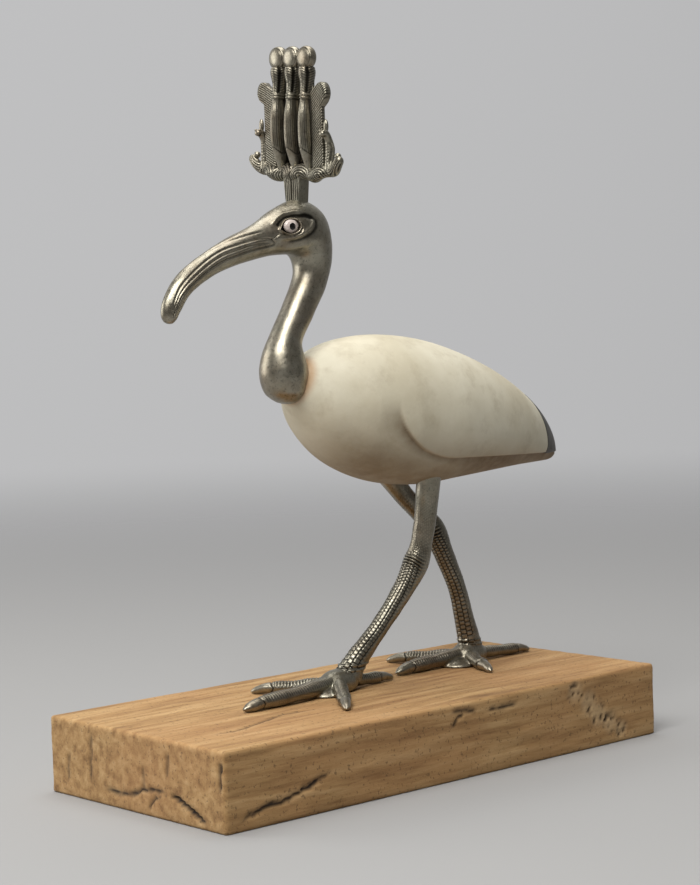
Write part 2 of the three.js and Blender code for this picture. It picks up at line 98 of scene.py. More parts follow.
def through(stations):
    """A function that reads a smooth curve through the stations at shares t from 0 to 1.

    Between two stations runs a cubic. Its slopes at the two ends come from the neighbouring stations,
    each weighed by the square root of its distance, which keeps the curve from bulging.
    """
    points = np.asarray(stations, float)
    ends = np.vstack([2 * points[0] - points[1], points, 2 * points[-1] - points[-2]])

    def read(t):
        place = np.clip(t, 0, 1) * (len(points) - 1)
        i = np.minimum(place.astype(int), len(points) - 2)
        w = (place - i)[..., None]
        p0, p1, p2, p3 = ends[i], ends[i + 1], ends[i + 2], ends[i + 3]
        gaps = (p1 - p0, p2 - p1, p3 - p2)
        d0, d1, d2 = (np.sqrt(np.linalg.norm(gap, axis=-1, keepdims=True)) for gap in gaps)
        leave = ((p1 - p0) / d0 - (p2 - p0) / (d0 + d1) + (p2 - p1) / d1) * d1
        arrive = ((p2 - p1) / d1 - (p3 - p1) / (d1 + d2) + (p3 - p2) / d2) * d1
        bend = 3 * (p2 - p1) - 2 * leave - arrive
        twist = 2 * (p1 - p2) + leave + arrive
        return p1 + leave * w + bend * w ** 2 + twist * w ** 3

    return read


def sizes_through(values):
    """The same smooth curve for single numbers, one for each station."""
    read = through([[value, i, 0] for i, value in enumerate(values)])
    return lambda t: read(t)[..., 0]


def dome(t, start_share, end_share):
    """1 along a form, falling to 0 at an end as a quarter circle that takes up the given share."""
    start = np.minimum(1, t / start_share) if start_share else 1
    end = np.minimum(1, (1 - t) / end_share) if end_share else 1
    return np.sqrt(start * (2 - start)) * np.sqrt(np.maximum(0, end * (2 - end)))


print("a half-way rise reads", rise(0.5, 0, 1))

# %% [markdown]
# ## Old surfaces are never even
# Cast metal has pits, gesso has hollows and old wood has worn grain. A lattice of random heights, joined
# smoothly, gives such unevenness at any size. The heights come from whole-number arithmetic on the
# lattice's places, so the same bird comes out every time.

# %% Uneven surfaces


def lattice_height(cell, seed):
    """A fixed random number from 0 to 1 for each whole-numbered place of the lattice."""
    steps = np.array([374761393, 668265263, 2147483629], np.int64)
    key = (cell * steps).sum(-1) + seed * 1274126177
    key = (key ^ (key >> 13)) & 0xFFFFFFFF
    key = (key * 1103515245 + 12345) & 0xFFFFFFFF
    key = key ^ (key >> 16)
    key = (key * 69069 + 362437) & 0xFFFFFFFF
    return ((key ^ (key >> 15)) & 0xFFFFFF) / 0xFFFFFF


def uneven(points, size, seed):
    """Soft random waves from -1 to 1 over the points, each about `size` across."""
    place = points / size
    cell = np.floor(place).astype(np.int64)
    blend = rise(place - cell, 0, 1)
    total = np.zeros(points.shape[:-1])
    for corner in np.ndindex(2, 2, 2):
        weight = np.where(corner, blend, 1 - blend).prod(-1)
        total += weight * lattice_height(cell + corner, seed)
    return 2 * total - 1


print("uneven at three places:", uneven(np.array([[0.0, 0, 0], [1.5, 2, 0], [9, 9, 9]]), 2, 1).round(2))

# %% [markdown]
# Lines drawn on a flat view do two jobs here. They scribe the folds of the face, as a caster's wax would
# be scribed from the side, and they split the old wood. Each point is raised or cut by how near it lies
# to the line.

# %% Lines on a flat view


def near_line(y, z, line, parts=36):
    """The distance of each point from a smooth line, and the share of the line where it is nearest."""
    knots = through([[0, *place] for place in line])(np.linspace(0, 1, parts + 1))[:, 1:]
    start, step = knots[:-1], np.diff(knots, axis=0)
    distance, share = np.full(y.shape, 99.0), np.zeros(y.shape)
    reach = 6
    low, high = knots.min(0) - reach, knots.max(0) + reach
    inside = (y > low[0]) & (y < high[0]) & (z > low[1]) & (z < high[1])
    to_point = np.stack([y[inside], z[inside]], -1)[:, None] - start
    run = np.clip((to_point * step).sum(-1) / (step ** 2).sum(-1), 0, 1)
    gap = np.linalg.norm(to_point - run[..., None] * step, axis=-1)
    best = gap.argmin(1)
    rows = np.arange(len(best))
    distance[inside] = gap[rows, best]
    share[inside] = (best + run[rows, best]) / parts
    return distance, share


def scribed(y, z, line, height, half_width, fade=0.15):
    """A ridge along a line, or a groove where the height is negative, that dies away at its two ends."""
    distance, share = near_line(y, z, line)
    ends = rise(share, 0, fade) * rise(1 - share, 0, fade)
    return height * ends * np.exp(-(distance / half_width) ** 2)


on_line = scribed(np.array([5.0]), np.array([0.0]), [(0, 0), (10, 0)], 1, 1)
print("a scribed line is", on_line[0], "high in its middle")

# %% [markdown]
# ## Skins of rings
# Nearly every piece here is a skin over rows of rings, like a stocking over hoops. The rings are one
# array of points, so relief can be raised on all of them at once, along the skin's outward direction.

# %% Skins


def rings_along(path, half_sizes, lean, t, sides):
    """Oval rings along a path. The section's height follows `lean`, and its width lies across it."""
    nudge = 1e-3
    tangent = unit(path(t + nudge) - path(t - nudge))
    lean = np.array(lean, float)
    up = unit(lean - tangent * (tangent @ lean)[:, None])
    across = np.cross(up, tangent)
    angle = np.linspace(0, 2 * np.pi, sides, endpoint=False)
    wide, high = half_sizes(t)
    return (
        path(t)[:, None]
        + across[:, None] * (wide[:, None] * np.cos(angle))[..., None]
        + up[:, None] * (high[:, None] * np.sin(angle))[..., None]
    )


def outward(rings):
    """Unit directions that point out of a skin of rings, square to it."""
    along = np.gradient(rings, axis=0)
    around = np.roll(rings, -1, axis=1) - np.roll(rings, 1, axis=1)
    normal = unit(np.cross(along, around))
    away = rings - rings.mean(axis=1, keepdims=True)
    return normal * np.sign((normal * away).sum())


def skin(rings, **tones):
    """A closed skin: four-sided faces between neighbouring rings, and a fan that closes each end.

    A tone is a number for each point, such as how deep in a groove it lies, for the finish to read.
    """
    rows, sides, _ = rings.shape
    corner = np.arange(rows * sides).reshape(rows, sides)
    after = np.roll(corner, -1, axis=1)
    faces = np.stack([corner[:-1], after[:-1], after[1:], corner[1:]], axis=-1).reshape(-1, 4)
    first = np.full(sides, rows * sides)
    fans = np.vstack([
        np.stack([after[0], corner[0], first], -1),
        np.stack([corner[-1], after[-1], first + 1], -1),
    ])
    points = np.vstack([rings.reshape(-1, 3), rings[0].mean(0), rings[-1].mean(0)])
    values = {key: np.append(tone.ravel(), [tone[0].mean(), tone[-1].mean()]) for key, tone in tones.items()}
    a, b, c, d = points[faces].transpose(1, 0, 2)
    volume = (np.cross(a, b) * c).sum() + (np.cross(a, c) * d).sum()
    a, b, c = points[fans].transpose(1, 0, 2)
    volume += (np.cross(a, b) * c).sum()
    if volume < 0:
        faces, fans = faces[:, ::-1], fans[:, ::-1]
    return {"points": points, "faces": faces, "fans": fans, "tones": values}


def mesh_of(name, skins):
    """One mesh of several skins, in metres, with each tone stored on its points."""
    mesh = bpy.data.meshes.new(name)
    starts = np.cumsum([0] + [len(s["points"]) for s in skins])
    points = np.vstack([s["points"] for s in skins]) * MM
    quads = np.vstack([s["faces"] + start for s, start in zip(skins, starts)])
    fans = np.vstack([s["fans"] + start for s, start in zip(skins, starts)])
    corners = np.concatenate([quads.ravel(), fans.ravel()])
    loop_starts = np.concatenate([np.arange(len(quads)) * 4, len(quads) * 4 + np.arange(len(fans)) * 3])
    mesh.vertices.add(len(points))
    mesh.vertices.foreach_set("co", points.ravel())
    mesh.loops.add(len(corners))
    mesh.loops.foreach_set("vertex_index", corners)
    mesh.polygons.add(len(loop_starts))
    mesh.polygons.foreach_set("loop_start", loop_starts)
    mesh.update(calc_edges=True)
    mesh.polygons.foreach_set("use_smooth", np.ones(len(loop_starts), bool))
    for key in sorted({key for s in skins for key in s["tones"]}):
        layer = mesh.attributes.new(key, "FLOAT", "POINT")
        values = [s["tones"].get(key, np.zeros(len(s["points"]))) for s in skins]
        layer.data.foreach_set("value", np.concatenate(values))
    return mesh


def put_in(mesh, material, replaced):
    """A finished piece: it rides on the statue's one body and stands for the named solids."""
    piece = bpy.data.objects.new(mesh.name, mesh)
    bpy.context.scene.collection.objects.link(piece)
    mesh.materials.append(material)
    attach(piece, "root")
    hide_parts(*replaced)
    mesh.calc_loop_triangles()
    print(mesh.name, "has", len(mesh.loop_triangles), "triangles")
    return piece


# %% [markdown]
# ## Finishes
# Each finish is worked out by nodes from the place of a point on the object and from the tones that the
# skins carry. Metal is painted darker in its grooves as painted shade, and its tarnish gathers there too.
# Gesso is painted dark brown as painted shade under the wing's edge and where it turns down, and it has a
# real rusty stain where it meets the metal. Old wood is painted dark in its splits and holes as painted
# shade. The numbers that give one material its gloss are set on its shader.

# %% Finishes


class Nodes:
    """A short way to write a material's nodes."""

    def __init__(self, name):
        self.material = bpy.data.materials.new(name)
        self.material.use_nodes = True
        self.tree = self.material.node_tree
        self.shader = self.tree.nodes["Principled BSDF"]
        self.place = self.add("ShaderNodeTexCoord").outputs["Object"]

    def add(self, kind, inputs=None, **settings):
        node = self.tree.nodes.new(kind)
        for key, value in settings.items():
            setattr(node, key, value)
        for key, value in (inputs or {}).items():
            self.put(value, node.inputs[key])
        return node

    def put(self, value, socket):
        if isinstance(value, bpy.types.NodeSocket):
            self.tree.links.new(value, socket)
        else:
            socket.default_value = value

    def noise(self, scale, detail=4, roughness=0.5, place=None):
        inputs = {"Vector": place or self.place, "Scale": scale, "Detail": detail, "Roughness": roughness}
        return self.add("ShaderNodeTexNoise", inputs).outputs["Fac"]

    def ramp(self, value, stops):
        node = self.add("ShaderNodeValToRGB", {"Fac": value})
        elements = node.color_ramp.elements
        while len(elements) < len(stops):
            elements.new(0.5)
        for element, (position, color) in zip(elements, stops):
            element.position = position
            element.color = (*color, 1) if len(color) == 3 else color
        return node.outputs["Color"]

    def blend(self, share, first, second, how="MIX"):
        node = self.add("ShaderNodeMix", data_type="RGBA", blend_type=how)
        self.put(share, node.inputs["Factor"])
        for value, socket in ((first, node.inputs[6]), (second, node.inputs[7])):
            self.put((*value, 1) if isinstance(value, tuple) and len(value) == 3 else value, socket)
        return node.outputs[2]

    def math(self, how, first, second=0.5, third=0.5):
        node = self.add("ShaderNodeMath", operation=how)
        for value, socket in zip((first, second, third), node.inputs):
            self.put(value, socket)
        return node.outputs[0]

    def tone(self, name):
        return self.add("ShaderNodeAttribute", attribute_name=name).outputs["Fac"]

    def bump(self, height, distance, strength=1.0, normal=None):
        inputs = {"Height": height, "Distance": distance, "Strength": strength}
        node = self.add("ShaderNodeBump", inputs)
        if normal is not None:
            self.put(normal, node.inputs["Normal"])
        return node.outputs["Normal"]

    def finish(self, **sockets):
        for key, value in sockets.items():
            self.put(value, self.shader.inputs[key.replace("_", " ")])
        return self.material


def tarnished_metal(name, worn, dull, brown, gloss):
    """Grey olive tarnish, a little brown in patches, with fine pits, grooves painted dark as shade with their
    tarnish, and worn high places.
    """
    n = Nodes(name)
    patches = n.ramp(n.noise(22, 5, 0.6), [(0.42, (0, 0, 0)), (0.68, (1, 1, 1))])
    base = n.blend(n.math("MULTIPLY", patches, 0.7), dull, brown)
    rubbed = n.ramp(n.noise(90, 6, 0.7), [(0.4, (0, 0, 0)), (0.75, (1, 1, 1))])
    color = n.blend(n.math("MULTIPLY", rubbed, 0.55), base, worn)
    specks = n.ramp(n.noise(520, 5, 0.75), [(0.36, (1, 1, 1)), (0.46, (0, 0, 0))])
    color = n.blend(n.math("MULTIPLY", specks, 0.5), color, (0.045, 0.04, 0.03))
    # Painted shade: the groove tone darkens hollows nearly to black, along with the tarnish that gathers in
    # them.
    color = n.blend(n.tone("groove"), color, (0.02, 0.018, 0.013))
    rough = n.math("MULTIPLY_ADD", n.noise(260, 4, 0.7), 0.3, gloss)
    pits = n.bump(n.noise(620, 5, 0.7), 0.00022, 0.55)
    hollows = n.bump(n.noise(60, 4, 0.6), 0.0012, 0.3, pits)
    return n.finish(Base_Color=color, Metallic=0.9, Roughness=rough, Normal=hollows)


def gesso():
    """Ivory plaster, mottled grey and tan, with dark brown painted shade under the wing and belly, rusty by
    the neck.
    """
    n = Nodes("ivory_gesso")
    color = n.ramp(n.noise(18, 6, 0.6), [(0.35, (0.56, 0.51, 0.38)), (0.65, (0.68, 0.64, 0.51))])
    mottle = n.ramp(n.noise(55, 6, 0.7), [(0.5, (0, 0, 0)), (0.72, (1, 1, 1))])
    color = n.blend(n.math("MULTIPLY", mottle, 0.45), color, (0.40, 0.34, 0.23))
    patchy = n.math("MULTIPLY_ADD", n.noise(70, 6, 0.7), 0.7, 0.55)
    # Painted shade: dark brown where the body's tone marks the strip under the wing's edge and the underside.
    color = n.blend(n.math("MULTIPLY", n.tone("stain"), patchy), color, (0.17, 0.115, 0.06))
    color = n.blend(n.math("MULTIPLY", n.tone("rust"), patchy), color, (0.40, 0.22, 0.095))
    hollows = n.bump(n.noise(90, 5, 0.6), 0.0006, 0.4)
    return n.finish(Base_Color=color, Roughness=0.75, Normal=n.bump(n.noise(500, 4), 0.0002, 0.4, hollows))


WOOD_TONES = [(0.3, (0.18, 0.09, 0.03)), (0.5, (0.38, 0.225, 0.09)), (0.7, (0.53, 0.35, 0.165))]


def old_wood():
    """Dry wood whose grain runs along the plank, with painted shade dark in its splits and holes, and pale
    where insects ate it.
    """
    n = Nodes("old_wood")
    stretch = n.add("ShaderNodeMapping", {"Vector": n.place, "Scale": (9.0, 0.8, 9.0)}).outputs[0]
    grain = n.noise(14, 7, 0.65, stretch)
    color = n.ramp(grain, WOOD_TONES)
    clouds = n.ramp(n.noise(9, 4, 0.6), [(0.4, (0, 0, 0)), (0.7, (1, 1, 1))])
    color = n.blend(n.math("MULTIPLY", clouds, 0.4), color, (0.40, 0.20, 0.08))
    pores = n.ramp(n.noise(420, 3, 0.6), [(0.34, (1, 1, 1)), (0.4, (0, 0, 0))])
    color = n.blend(n.math("MULTIPLY", pores, 0.55), color, (0.08, 0.045, 0.02))
    color = n.blend(n.tone("eaten"), color, (0.50, 0.36, 0.20))
    # Painted shade: the splits and insect holes are painted nearly black.
    color = n.blend(n.tone("split"), color, (0.025, 0.014, 0.008))
    open_grain = n.bump(grain, 0.0008, 0.6)
    pitted = n.bump(n.noise(420, 3, 0.6), 0.0003, 0.5, open_grain)
    return n.finish(Base_Color=color, Roughness=0.85, Normal=pitted)


PUPIL = (-0.0553, 0.3578)
PUPIL_RADIUS = 0.0023


def eye_inlay():
    """A polished pale inlay with a black pupil, placed as seen from the side."""
    n = Nodes("eye_inlay")
    pale = n.ramp(n.noise(400, 3), [(0.3, (0.5, 0.42, 0.38)), (0.7, (0.7, 0.62, 0.58))])
    middle = n.add("ShaderNodeVectorMath", {0: n.place, 1: (0, -PUPIL[0], -PUPIL[1])}, operation="ADD")
    seen = n.add("ShaderNodeVectorMath", {0: middle.outputs["Vector"], 1: (0, 1, 1)}, operation="MULTIPLY")
    distance = n.add("ShaderNodeVectorMath", {0: seen.outputs["Vector"]}, operation="LENGTH").outputs["Value"]
    inside = n.math("LESS_THAN", distance, PUPIL_RADIUS)
    return n.finish(Base_Color=n.blend(inside, pale, (0.006, 0.005, 0.005)), Roughness=0.15)


WORN_GREY, OLIVE, BROWN = (0.50, 0.47, 0.39), (0.27, 0.255, 0.2), (0.2, 0.14, 0.09)
METAL = tarnished_metal("tarnished_metal", WORN_GREY, OLIVE, BROWN, 0.2)
DARK_METAL = tarnished_metal("dark_metal", (0.2, 0.19, 0.17), (0.09, 0.09, 0.08), (0.09, 0.07, 0.055), 0.35)
GESSO = gesso()
WOOD = old_wood()
INLAY = eye_inlay()

# %% [markdown]
# ## The plinth
# The plinth is one sawn plank. Drying has split it, worn edges have rounded it, and insects have eaten
# holes in its long side. A lattice of even cells covers the whole block and is shared at the edges, so
# the skin is closed and every split can be pressed into it as real depth.

# %% The plinth
PLINTH = np.array([179.0, 387.0, 50.0])
PLINTH_EDGE = 2.6
PLINTH_CELL = 1.75
END_SPLITS = [
    ([(-36, 11), (-9, 10), (13, 16), (35, 17)], 1.6), ([(35, 17), (43, 15), (56, 10), (72, 3)], 3.5),
    ([(29, 16), (17, 8), (14, 4)], 1.2), ([(-69, 30), (-71, 6)], 1.0), ([(-44, 46), (-46, 11)], 1.0),
    ([(10, 31), (9, 15)], 0.9), ([(35, 43), (34, 25)], 1.0), ([(85, 44), (84, 24)], 2.4),
]
SIDE_SPLITS = [
    ([(-186, 5), (-165, 12), (-147, 13), (-126, 19), (-107, 25)], 1.8), ([(-7, 35), (-1, 41), (4, 42)], 1.4),
    ([(-8, 45), (9, 44), (16, 42)], 1.3), ([(26, 42), (38, 41), (56, 43)], 1.3),
]
TOP_SPLITS = [([(43, -167), (44, -146), (35, -118), (27, -92), (29, -69)], 1.5)]
EATEN = [(111, 41, 7), (124, 32, 8), (134, 22, 8), (146, 15, 7), (157, 9, 6)]
HOLE_PITCH = 5.0


def lattice_box(size, cell):
    """The points and four-sided faces of a closed box of even cells, as whole-numbered places."""
    counts = np.maximum(1, np.round(size / cell)).astype(int)
    corners = []
    for axis in range(3):
        first, second = (axis + 1) % 3, (axis + 2) % 3
        i, j = np.meshgrid(np.arange(counts[first]), np.arange(counts[second]), indexing="ij")
        for level, order in ((0, (0, 3, 2, 1)), (counts[axis], (0, 1, 2, 3))):
            places = np.zeros((i.size, 4, 3), int)
            places[..., axis] = level
            places[..., first] = i.reshape(-1, 1) + np.array([0, 1, 1, 0])
            places[..., second] = j.reshape(-1, 1) + np.array([0, 0, 1, 1])
            corners.append(places[:, order])
    places, faces = np.unique(np.concatenate(corners).reshape(-1, 3), axis=0, return_inverse=True)
    return places / counts, faces.reshape(-1, 4)


def split_depths(first, second, splits, mask):
    """The depth of the splits at each point of one face of the plank."""
    ragged = 0.8 * uneven(np.stack([first, second, 0 * first], -1), 3.5, 51)
    lines = [scribed(first + ragged, second - ragged, line, depth, 1.15, 0.2) for line, depth in splits]
    return np.max(lines, axis=0) * mask


def plinth_skin():
    """The plank with rounded edges, worn a little everywhere, split and eaten."""
    shares, faces = lattice_box(PLINTH, PLINTH_CELL)
    flat = (shares - [0.5, 0.5, 0]) * PLINTH
    low = np.array([-PLINTH[0] / 2, -PLINTH[1] / 2, 0])
    inner = np.clip(flat, low + PLINTH_EDGE, low + PLINTH - PLINTH_EDGE)
    out = unit(flat - inner)
    points = inner + out * PLINTH_EDGE
    x, y, z = points.T
    splits = split_depths(x, z, END_SPLITS, out[:, 1] < -0.7)
    splits = np.maximum(splits, split_depths(y, z, SIDE_SPLITS, out[:, 0] > 0.7))
    splits = np.maximum(splits, split_depths(x, y, TOP_SPLITS, out[:, 2] > 0.7))
    patch = sum(np.exp(-(np.hypot(y - a, z - b) / c) ** 4) for a, b, c in EATEN) * (out[:, 0] > 0.7)
    hole = rise(uneven(points, HOLE_PITCH / 2, 61), 0.25, 0.6) * np.clip(patch, 0, 1)
    edge = rise(1.25 - np.abs(out).max(1), 0, 0.5)
    worn = (0.25 + 0.6 * edge) * (0.5 + 0.5 * uneven(points * [1, 0.35, 1], 7, 62))
    grain = 0.16 * (1 + uneven(points * [1, 0.12, 1], 2.4, 63))
    depth = (worn + grain + splits + 2.2 * hole + 0.5 * patch) * (out[:, 2] > -0.5)
    # The split tone paints the splits and holes dark for the finish, as painted shade.
    tones = {"split": np.clip(splits / 1.4 + hole, 0, 1), "eaten": np.clip(patch, 0, 1) * 0.6}
    points = points - out * depth[:, None]
    return {"points": points, "faces": faces, "fans": np.zeros((0, 3), int), "tones": tones}


PLINTH_PIECE = put_in(mesh_of("wooden_plinth", [plinth_skin()]), WOOD, ["plinth"])

# %% [markdown]
# ## The body
# The body is one carved block of wood under a coat of plaster. The folded wings are a low step in its
# sides. The columns of this skin follow the wing's lower edge, so that the step stays crisp, and the
# body below the edge is cut back. Under the tail cap the wood is cut back as well, as it is for a real
# cap, so that the metal sits on it.

# %% The body
BIRD_X = -10.0
WING_STEP = 3.0
WING_START = (6.0, 241.0)
WING_BEND = (60.0, 40.0)
WING_TAIL = (195.0, 195.5)
BODY_PROFILE = [
    [-52, 263, 247], [-44, 268, 235], [-30, 275.5, 216], [-8, 283, 198.5], [22, 286, 186.5],
    [58, 282.5, 182], [92, 273.5, 183.8], [126, 260.5, 186], [156, 245, 187.8], [180, 228.5, 188.7],
    [195, 213, 189.5], [202.5, 200, 192],
]
BODY_HALF_WIDTHS = [8, 16, 31, 44, 51, 52, 48, 40, 29, 18, 9, 2.5]
body_spine = through(BODY_PROFILE)
body_width = sizes_through(BODY_HALF_WIDTHS)


def outside_wing(y, z):
    """How far a point on the flank lies outside the wing's lower edge, and less than 0 inside it."""
    middle = WING_START[0] + WING_BEND[0]
    line = mix(WING_START[1] - WING_BEND[1], WING_TAIL[1], (y - middle) / (WING_TAIL[0] - middle)) - z
    up = np.minimum(0, (z - WING_START[1]) / WING_BEND[1])
    oval = (np.hypot((y - middle) / WING_BEND[0], up) - 1) * WING_BEND[1]
    return np.where(y > middle, line, oval)


def body_section(t):
    """The place, top, widest height, underside and half width of the body's section at share t."""
    y, top, under = np.moveaxis(body_spine(t), -1, 0)
    widest = under + (top - under) * mix(0.47, 0.3, rise(t, 0.3, 1))
    return y, top, widest, under, np.maximum(0.5, body_width(t))


def body_points(t, angle):
    """Points of the body before its wings are cut. Angle 0 is the left side, a quarter turn the top."""
    y, top, widest, under, half = body_section(t)
    c, s = np.cos(angle), np.sin(angle)
    across = np.sign(c) * np.abs(c) ** 0.92
    z = widest + s * np.where(s > 0, top - widest, widest - under)
    return np.stack([BIRD_X + across * half, y + 0 * z, z], -1), across


def angle_at_height(t, z):
    """The angle on the left flank where the body's surface is at height z."""
    _, top, widest, under, _ = body_section(t)
    s = (z - widest) / np.where(z > widest, top - widest, widest - under)
    return np.arcsin(np.clip(s, -1, 1))


def wing_edge_height(y):
    """The height of the wing's lower edge at y, held level in front of the wing."""
    middle = WING_START[0] + WING_BEND[0]
    back = mix(WING_START[1] - WING_BEND[1], WING_TAIL[1], (y - middle) / (WING_TAIL[0] - middle))
    run = np.clip((middle - y) / WING_BEND[0], 0, 0.88)
    return np.where(y > middle, back, WING_START[1] - WING_BEND[1] * np.sqrt(1 - run ** 2))


CAP_Y, CAP_Z, CAP_BOW, CAP_HALF_HEIGHT = 174.8, 203.0, 9.0, 30.0
CAP_FOOT = 195.7
NECK_FOOT = (-53.6, 263)
NECK_FOOT_RADIUS = 16.4


def cap_rim(z):
    """Where the tail cap's bowed front rim lies, from front to back, at height z."""
    return CAP_Y - CAP_BOW * ((z - CAP_Z) / CAP_HALF_HEIGHT) ** 2


def body_rings():
    """The body's skin: its columns follow the wing's edge, and it is cut back below and under the cap."""
    t = np.linspace(0, 1, 280)[:, None]
    column = np.linspace(0, 1, 140)
    y = body_spine(t)[..., 0]
    edge = np.clip(angle_at_height(t, wing_edge_height(y)), -1.2, 1.2)
    edge = mix(-0.5, edge, rise(y, -8, 14))
    below = column < 0.4
    share = np.where(below, column / 0.4, (column - 0.4) / 0.6)
    angle = np.where(below, mix(-np.pi / 2, edge, share), mix(edge, np.pi / 2, share))
    angle = np.concatenate([angle, np.pi - angle[:, -2:0:-1]], axis=1)
    points, across = body_points(t, angle)
    y, z = points[..., 1], points[..., 2]
    outside = outside_wing(y, z)
    fade_up = 1 - rise(z, WING_START[1] - 22, WING_START[1] + 4)
    cut = WING_STEP * fade_up * np.exp(-np.maximum(0, outside) / 16) * (1 - 0.6 * rise(y, 150, 200))
    cut = cut * np.abs(across) * rise(outside, -0.4, 0.9)
    points[..., 0] -= np.sign(across) * cut
    points[..., 2] += 0.3 * cut
    behind = y - cap_rim(z)
    covered = rise(behind, 0.8, 1.8) * rise(z, CAP_FOOT, CAP_FOOT + 0.8)
    middle = np.stack([np.full(y.shape, BIRD_X), y, np.full(y.shape, CAP_FOOT + 2)], -1)
    points = mix(points, middle, 0.2 * covered[..., None])
    # Painted shade: the strip under the wing's edge and the underside that faces down get a dark brown tone.
    strip = mix(np.exp(-np.maximum(0, outside) / 7), 1, rise(y, 40, 95)) * fade_up
    under_wing = rise(outside, -0.3, 0.7) * strip * rise(np.abs(across), 0.1, 0.4)
    under = rise(-np.sin(angle), 0.2, 0.95) * rise(y, -45, 0)
    stain = np.clip(np.maximum(under_wing, 0.85 * under), 0, 1)
    to_metal = np.linalg.norm(points - [BIRD_X, *NECK_FOOT], axis=-1) - NECK_FOOT_RADIUS
    rust = 0.85 * rise(8 - to_metal, 0, 7)
    return skin(points, stain=stain, rust=rust)


BODY = put_in(mesh_of("gessoed_body", [body_rings()]), GESSO, ["body"])

# %% [markdown]
# ## The tail cap
# A thin cap of dark metal covers the tips of the wings. It takes its shape from the body's own surface
# behind a bowed rim and above a level foot line. It stands a quarter of a millimetre proud, as a fitted
# cap does, so its rim can be seen against the plaster.

# %% The tail cap
CAP_PROUD = 0.25


def cap_rings():
    """The part of the body's surface behind the bowed line and above the foot line, grown a little."""
    around = np.linspace(0, 1, 90)
    t_line = np.linspace(0, 1, 400)
    y_line = body_spine(t_line)[:, 0]
    start = np.full(around.shape, 0.8)
    for _ in range(30):
        low = angle_at_height(start, CAP_FOOT)
        points, _ = body_points(start, mix(low, np.pi - low, around))
        start = np.interp(cap_rim(points[:, 2]), y_line, t_line)
    t = mix(start, 0.995, np.linspace(0, 1, 45)[:, None])
    low = angle_at_height(t, CAP_FOOT)
    outer, _ = body_points(t, mix(low, np.pi - low, around))
    middle = np.stack([np.full(t.shape, BIRD_X), outer[..., 1], np.full(t.shape, CAP_FOOT + 2)], -1)
    inner = mix(outer, middle, 0.08)
    outer = outer + CAP_PROUD * unit(outer - middle)
    return np.concatenate([outer, inner[:, ::-1]], axis=1)


TAIL_CAP = put_in(mesh_of("tail_tip", [skin(cap_rings())]), DARK_METAL, ["tail_cap"])

# %% [markdown]
# ## Head, neck and bill
# The head, the neck and its round foot are one casting. Its side view is two curves, an outer edge and an
# inner edge, and rings are carried between them from the foot to the tip of the bill. Both ends close in
# a small dome.

# %% The head's skin
HEAD_STATIONS = [
    [-44, 243.5, -55, 242.4, 6],
    [-39, 252, -66, 250, 14],
    [-37.3, 263, -70, 262, 16.2],
    [-39.3, 273, -68, 276, 14],
    [-41, 281.5, -61.5, 289, 11.2],
    [-30, 299.5, -49.5, 309, 10.7],
    [-17.5, 321, -39.6, 329, 11.8],
    [-13.3, 345, -41, 337.8, 15],
    [-21, 368, -45, 339.8, 17.3],
    [-38, 376, -50, 340.2, 17],
    [-56, 370.5, -57, 340, 13.8],
    [-75, 360.2, -70, 338.3, 9.6],
    [-111.4, 344.5, -104.6, 329.5, 6.8],
    [-138.4, 327.6, -128.8, 316.4, 6],
    [-150, 311, -137.8, 305, 5.2],
    [-151, 303, -141.2, 300, 4.4],
    [-149, 298.4, -144.5, 297.4, 2.2],
]
outer_edge = through([[0, s[0], s[1]] for s in HEAD_STATIONS])
inner_edge = through([[0, s[2], s[3]] for s in HEAD_STATIONS])
head_width = sizes_through([s[4] for s in HEAD_STATIONS])


def head_points(t, angle):
    """The skin between the two edges. Angle 0 is the left side, and a quarter turn the outer edge."""
    outer, inner = outer_edge(t), inner_edge(t)
    closing = dome(t, 0.02, 0.02)[..., None]
    sideways = (head_width(t) * np.cos(angle))[..., None] * np.array([1.0, 0, 0])
    from_middle = (outer - inner) / 2 * np.sin(angle)[..., None] + sideways
    return (outer + inner) / 2 + closing * from_middle + [BIRD_X, 0, 0]


def head_grid_values():
    """Shares along the head and angles round it, closer together on the face and on its two sides."""
    ends, counts = (0.0002, 0.03, 0.53, 0.70, 0.97, 0.9998), (16, 88, 190, 92, 18)
    stretches = [np.linspace(*span, endpoint=False) for span in zip(ends, ends[1:], counts)]
    t = np.concatenate([*stretches, ends[-1:]])
    turn = np.linspace(0, 2 * np.pi, 220, endpoint=False)
    return np.meshgrid(t, turn - 0.25 * np.sin(2 * turn), indexing="ij")


head_t, head_angle = head_grid_values()
head_skin = head_points(head_t, head_angle)
print("the head's skin has", head_skin.shape[0], "rings of", head_skin.shape[1], "points")

# %% [markdown]
# The face is drawn from the side, as a caster's model would be scribed. Each ridge or groove is a smooth
# line in that side view. A point of the skin is raised or cut by how near it lies to the line, on both
# sides of the head at once. The relief fades where the skin turns away from the side view.

# %% Lines of the face, seen from the side
BROW = [(-68, 358.6), (-62.5, 363.1), (-58.3, 365.6), (-55.3, 366.5), (-50, 367.4), (-44, 366.8)]
BROW_HOLLOW = [
    (-66, 356.6), (-62, 360.4), (-57, 363.6), (-52, 364.9), (-46, 365.2), (-41, 364.2), (-35, 361),
]
ORBIT = [
    (-66, 350), (-58.6, 350.6), (-52.2, 351.2), (-46.8, 353.3), (-41.8, 356.7), (-39.4, 360), (-40, 363.5),
]
ORBIT_FOOT = [(-60, 348.6), (-52, 348.8), (-45, 350.8), (-39, 354.6), (-36.4, 359), (-36.6, 364)]
UNDER_EYE = [(-62.8, 353.9), (-59, 352.6), (-55.5, 352.2), (-51, 353), (-48, 355.4), (-47, 358.4)]
CHEEK = [(-60, 343), (-52, 343.6), (-46, 345), (-39, 348), (-32, 352)]
LORE_FOLD = [(-69.5, 349.4), (-66.5, 351), (-63, 353.6)]
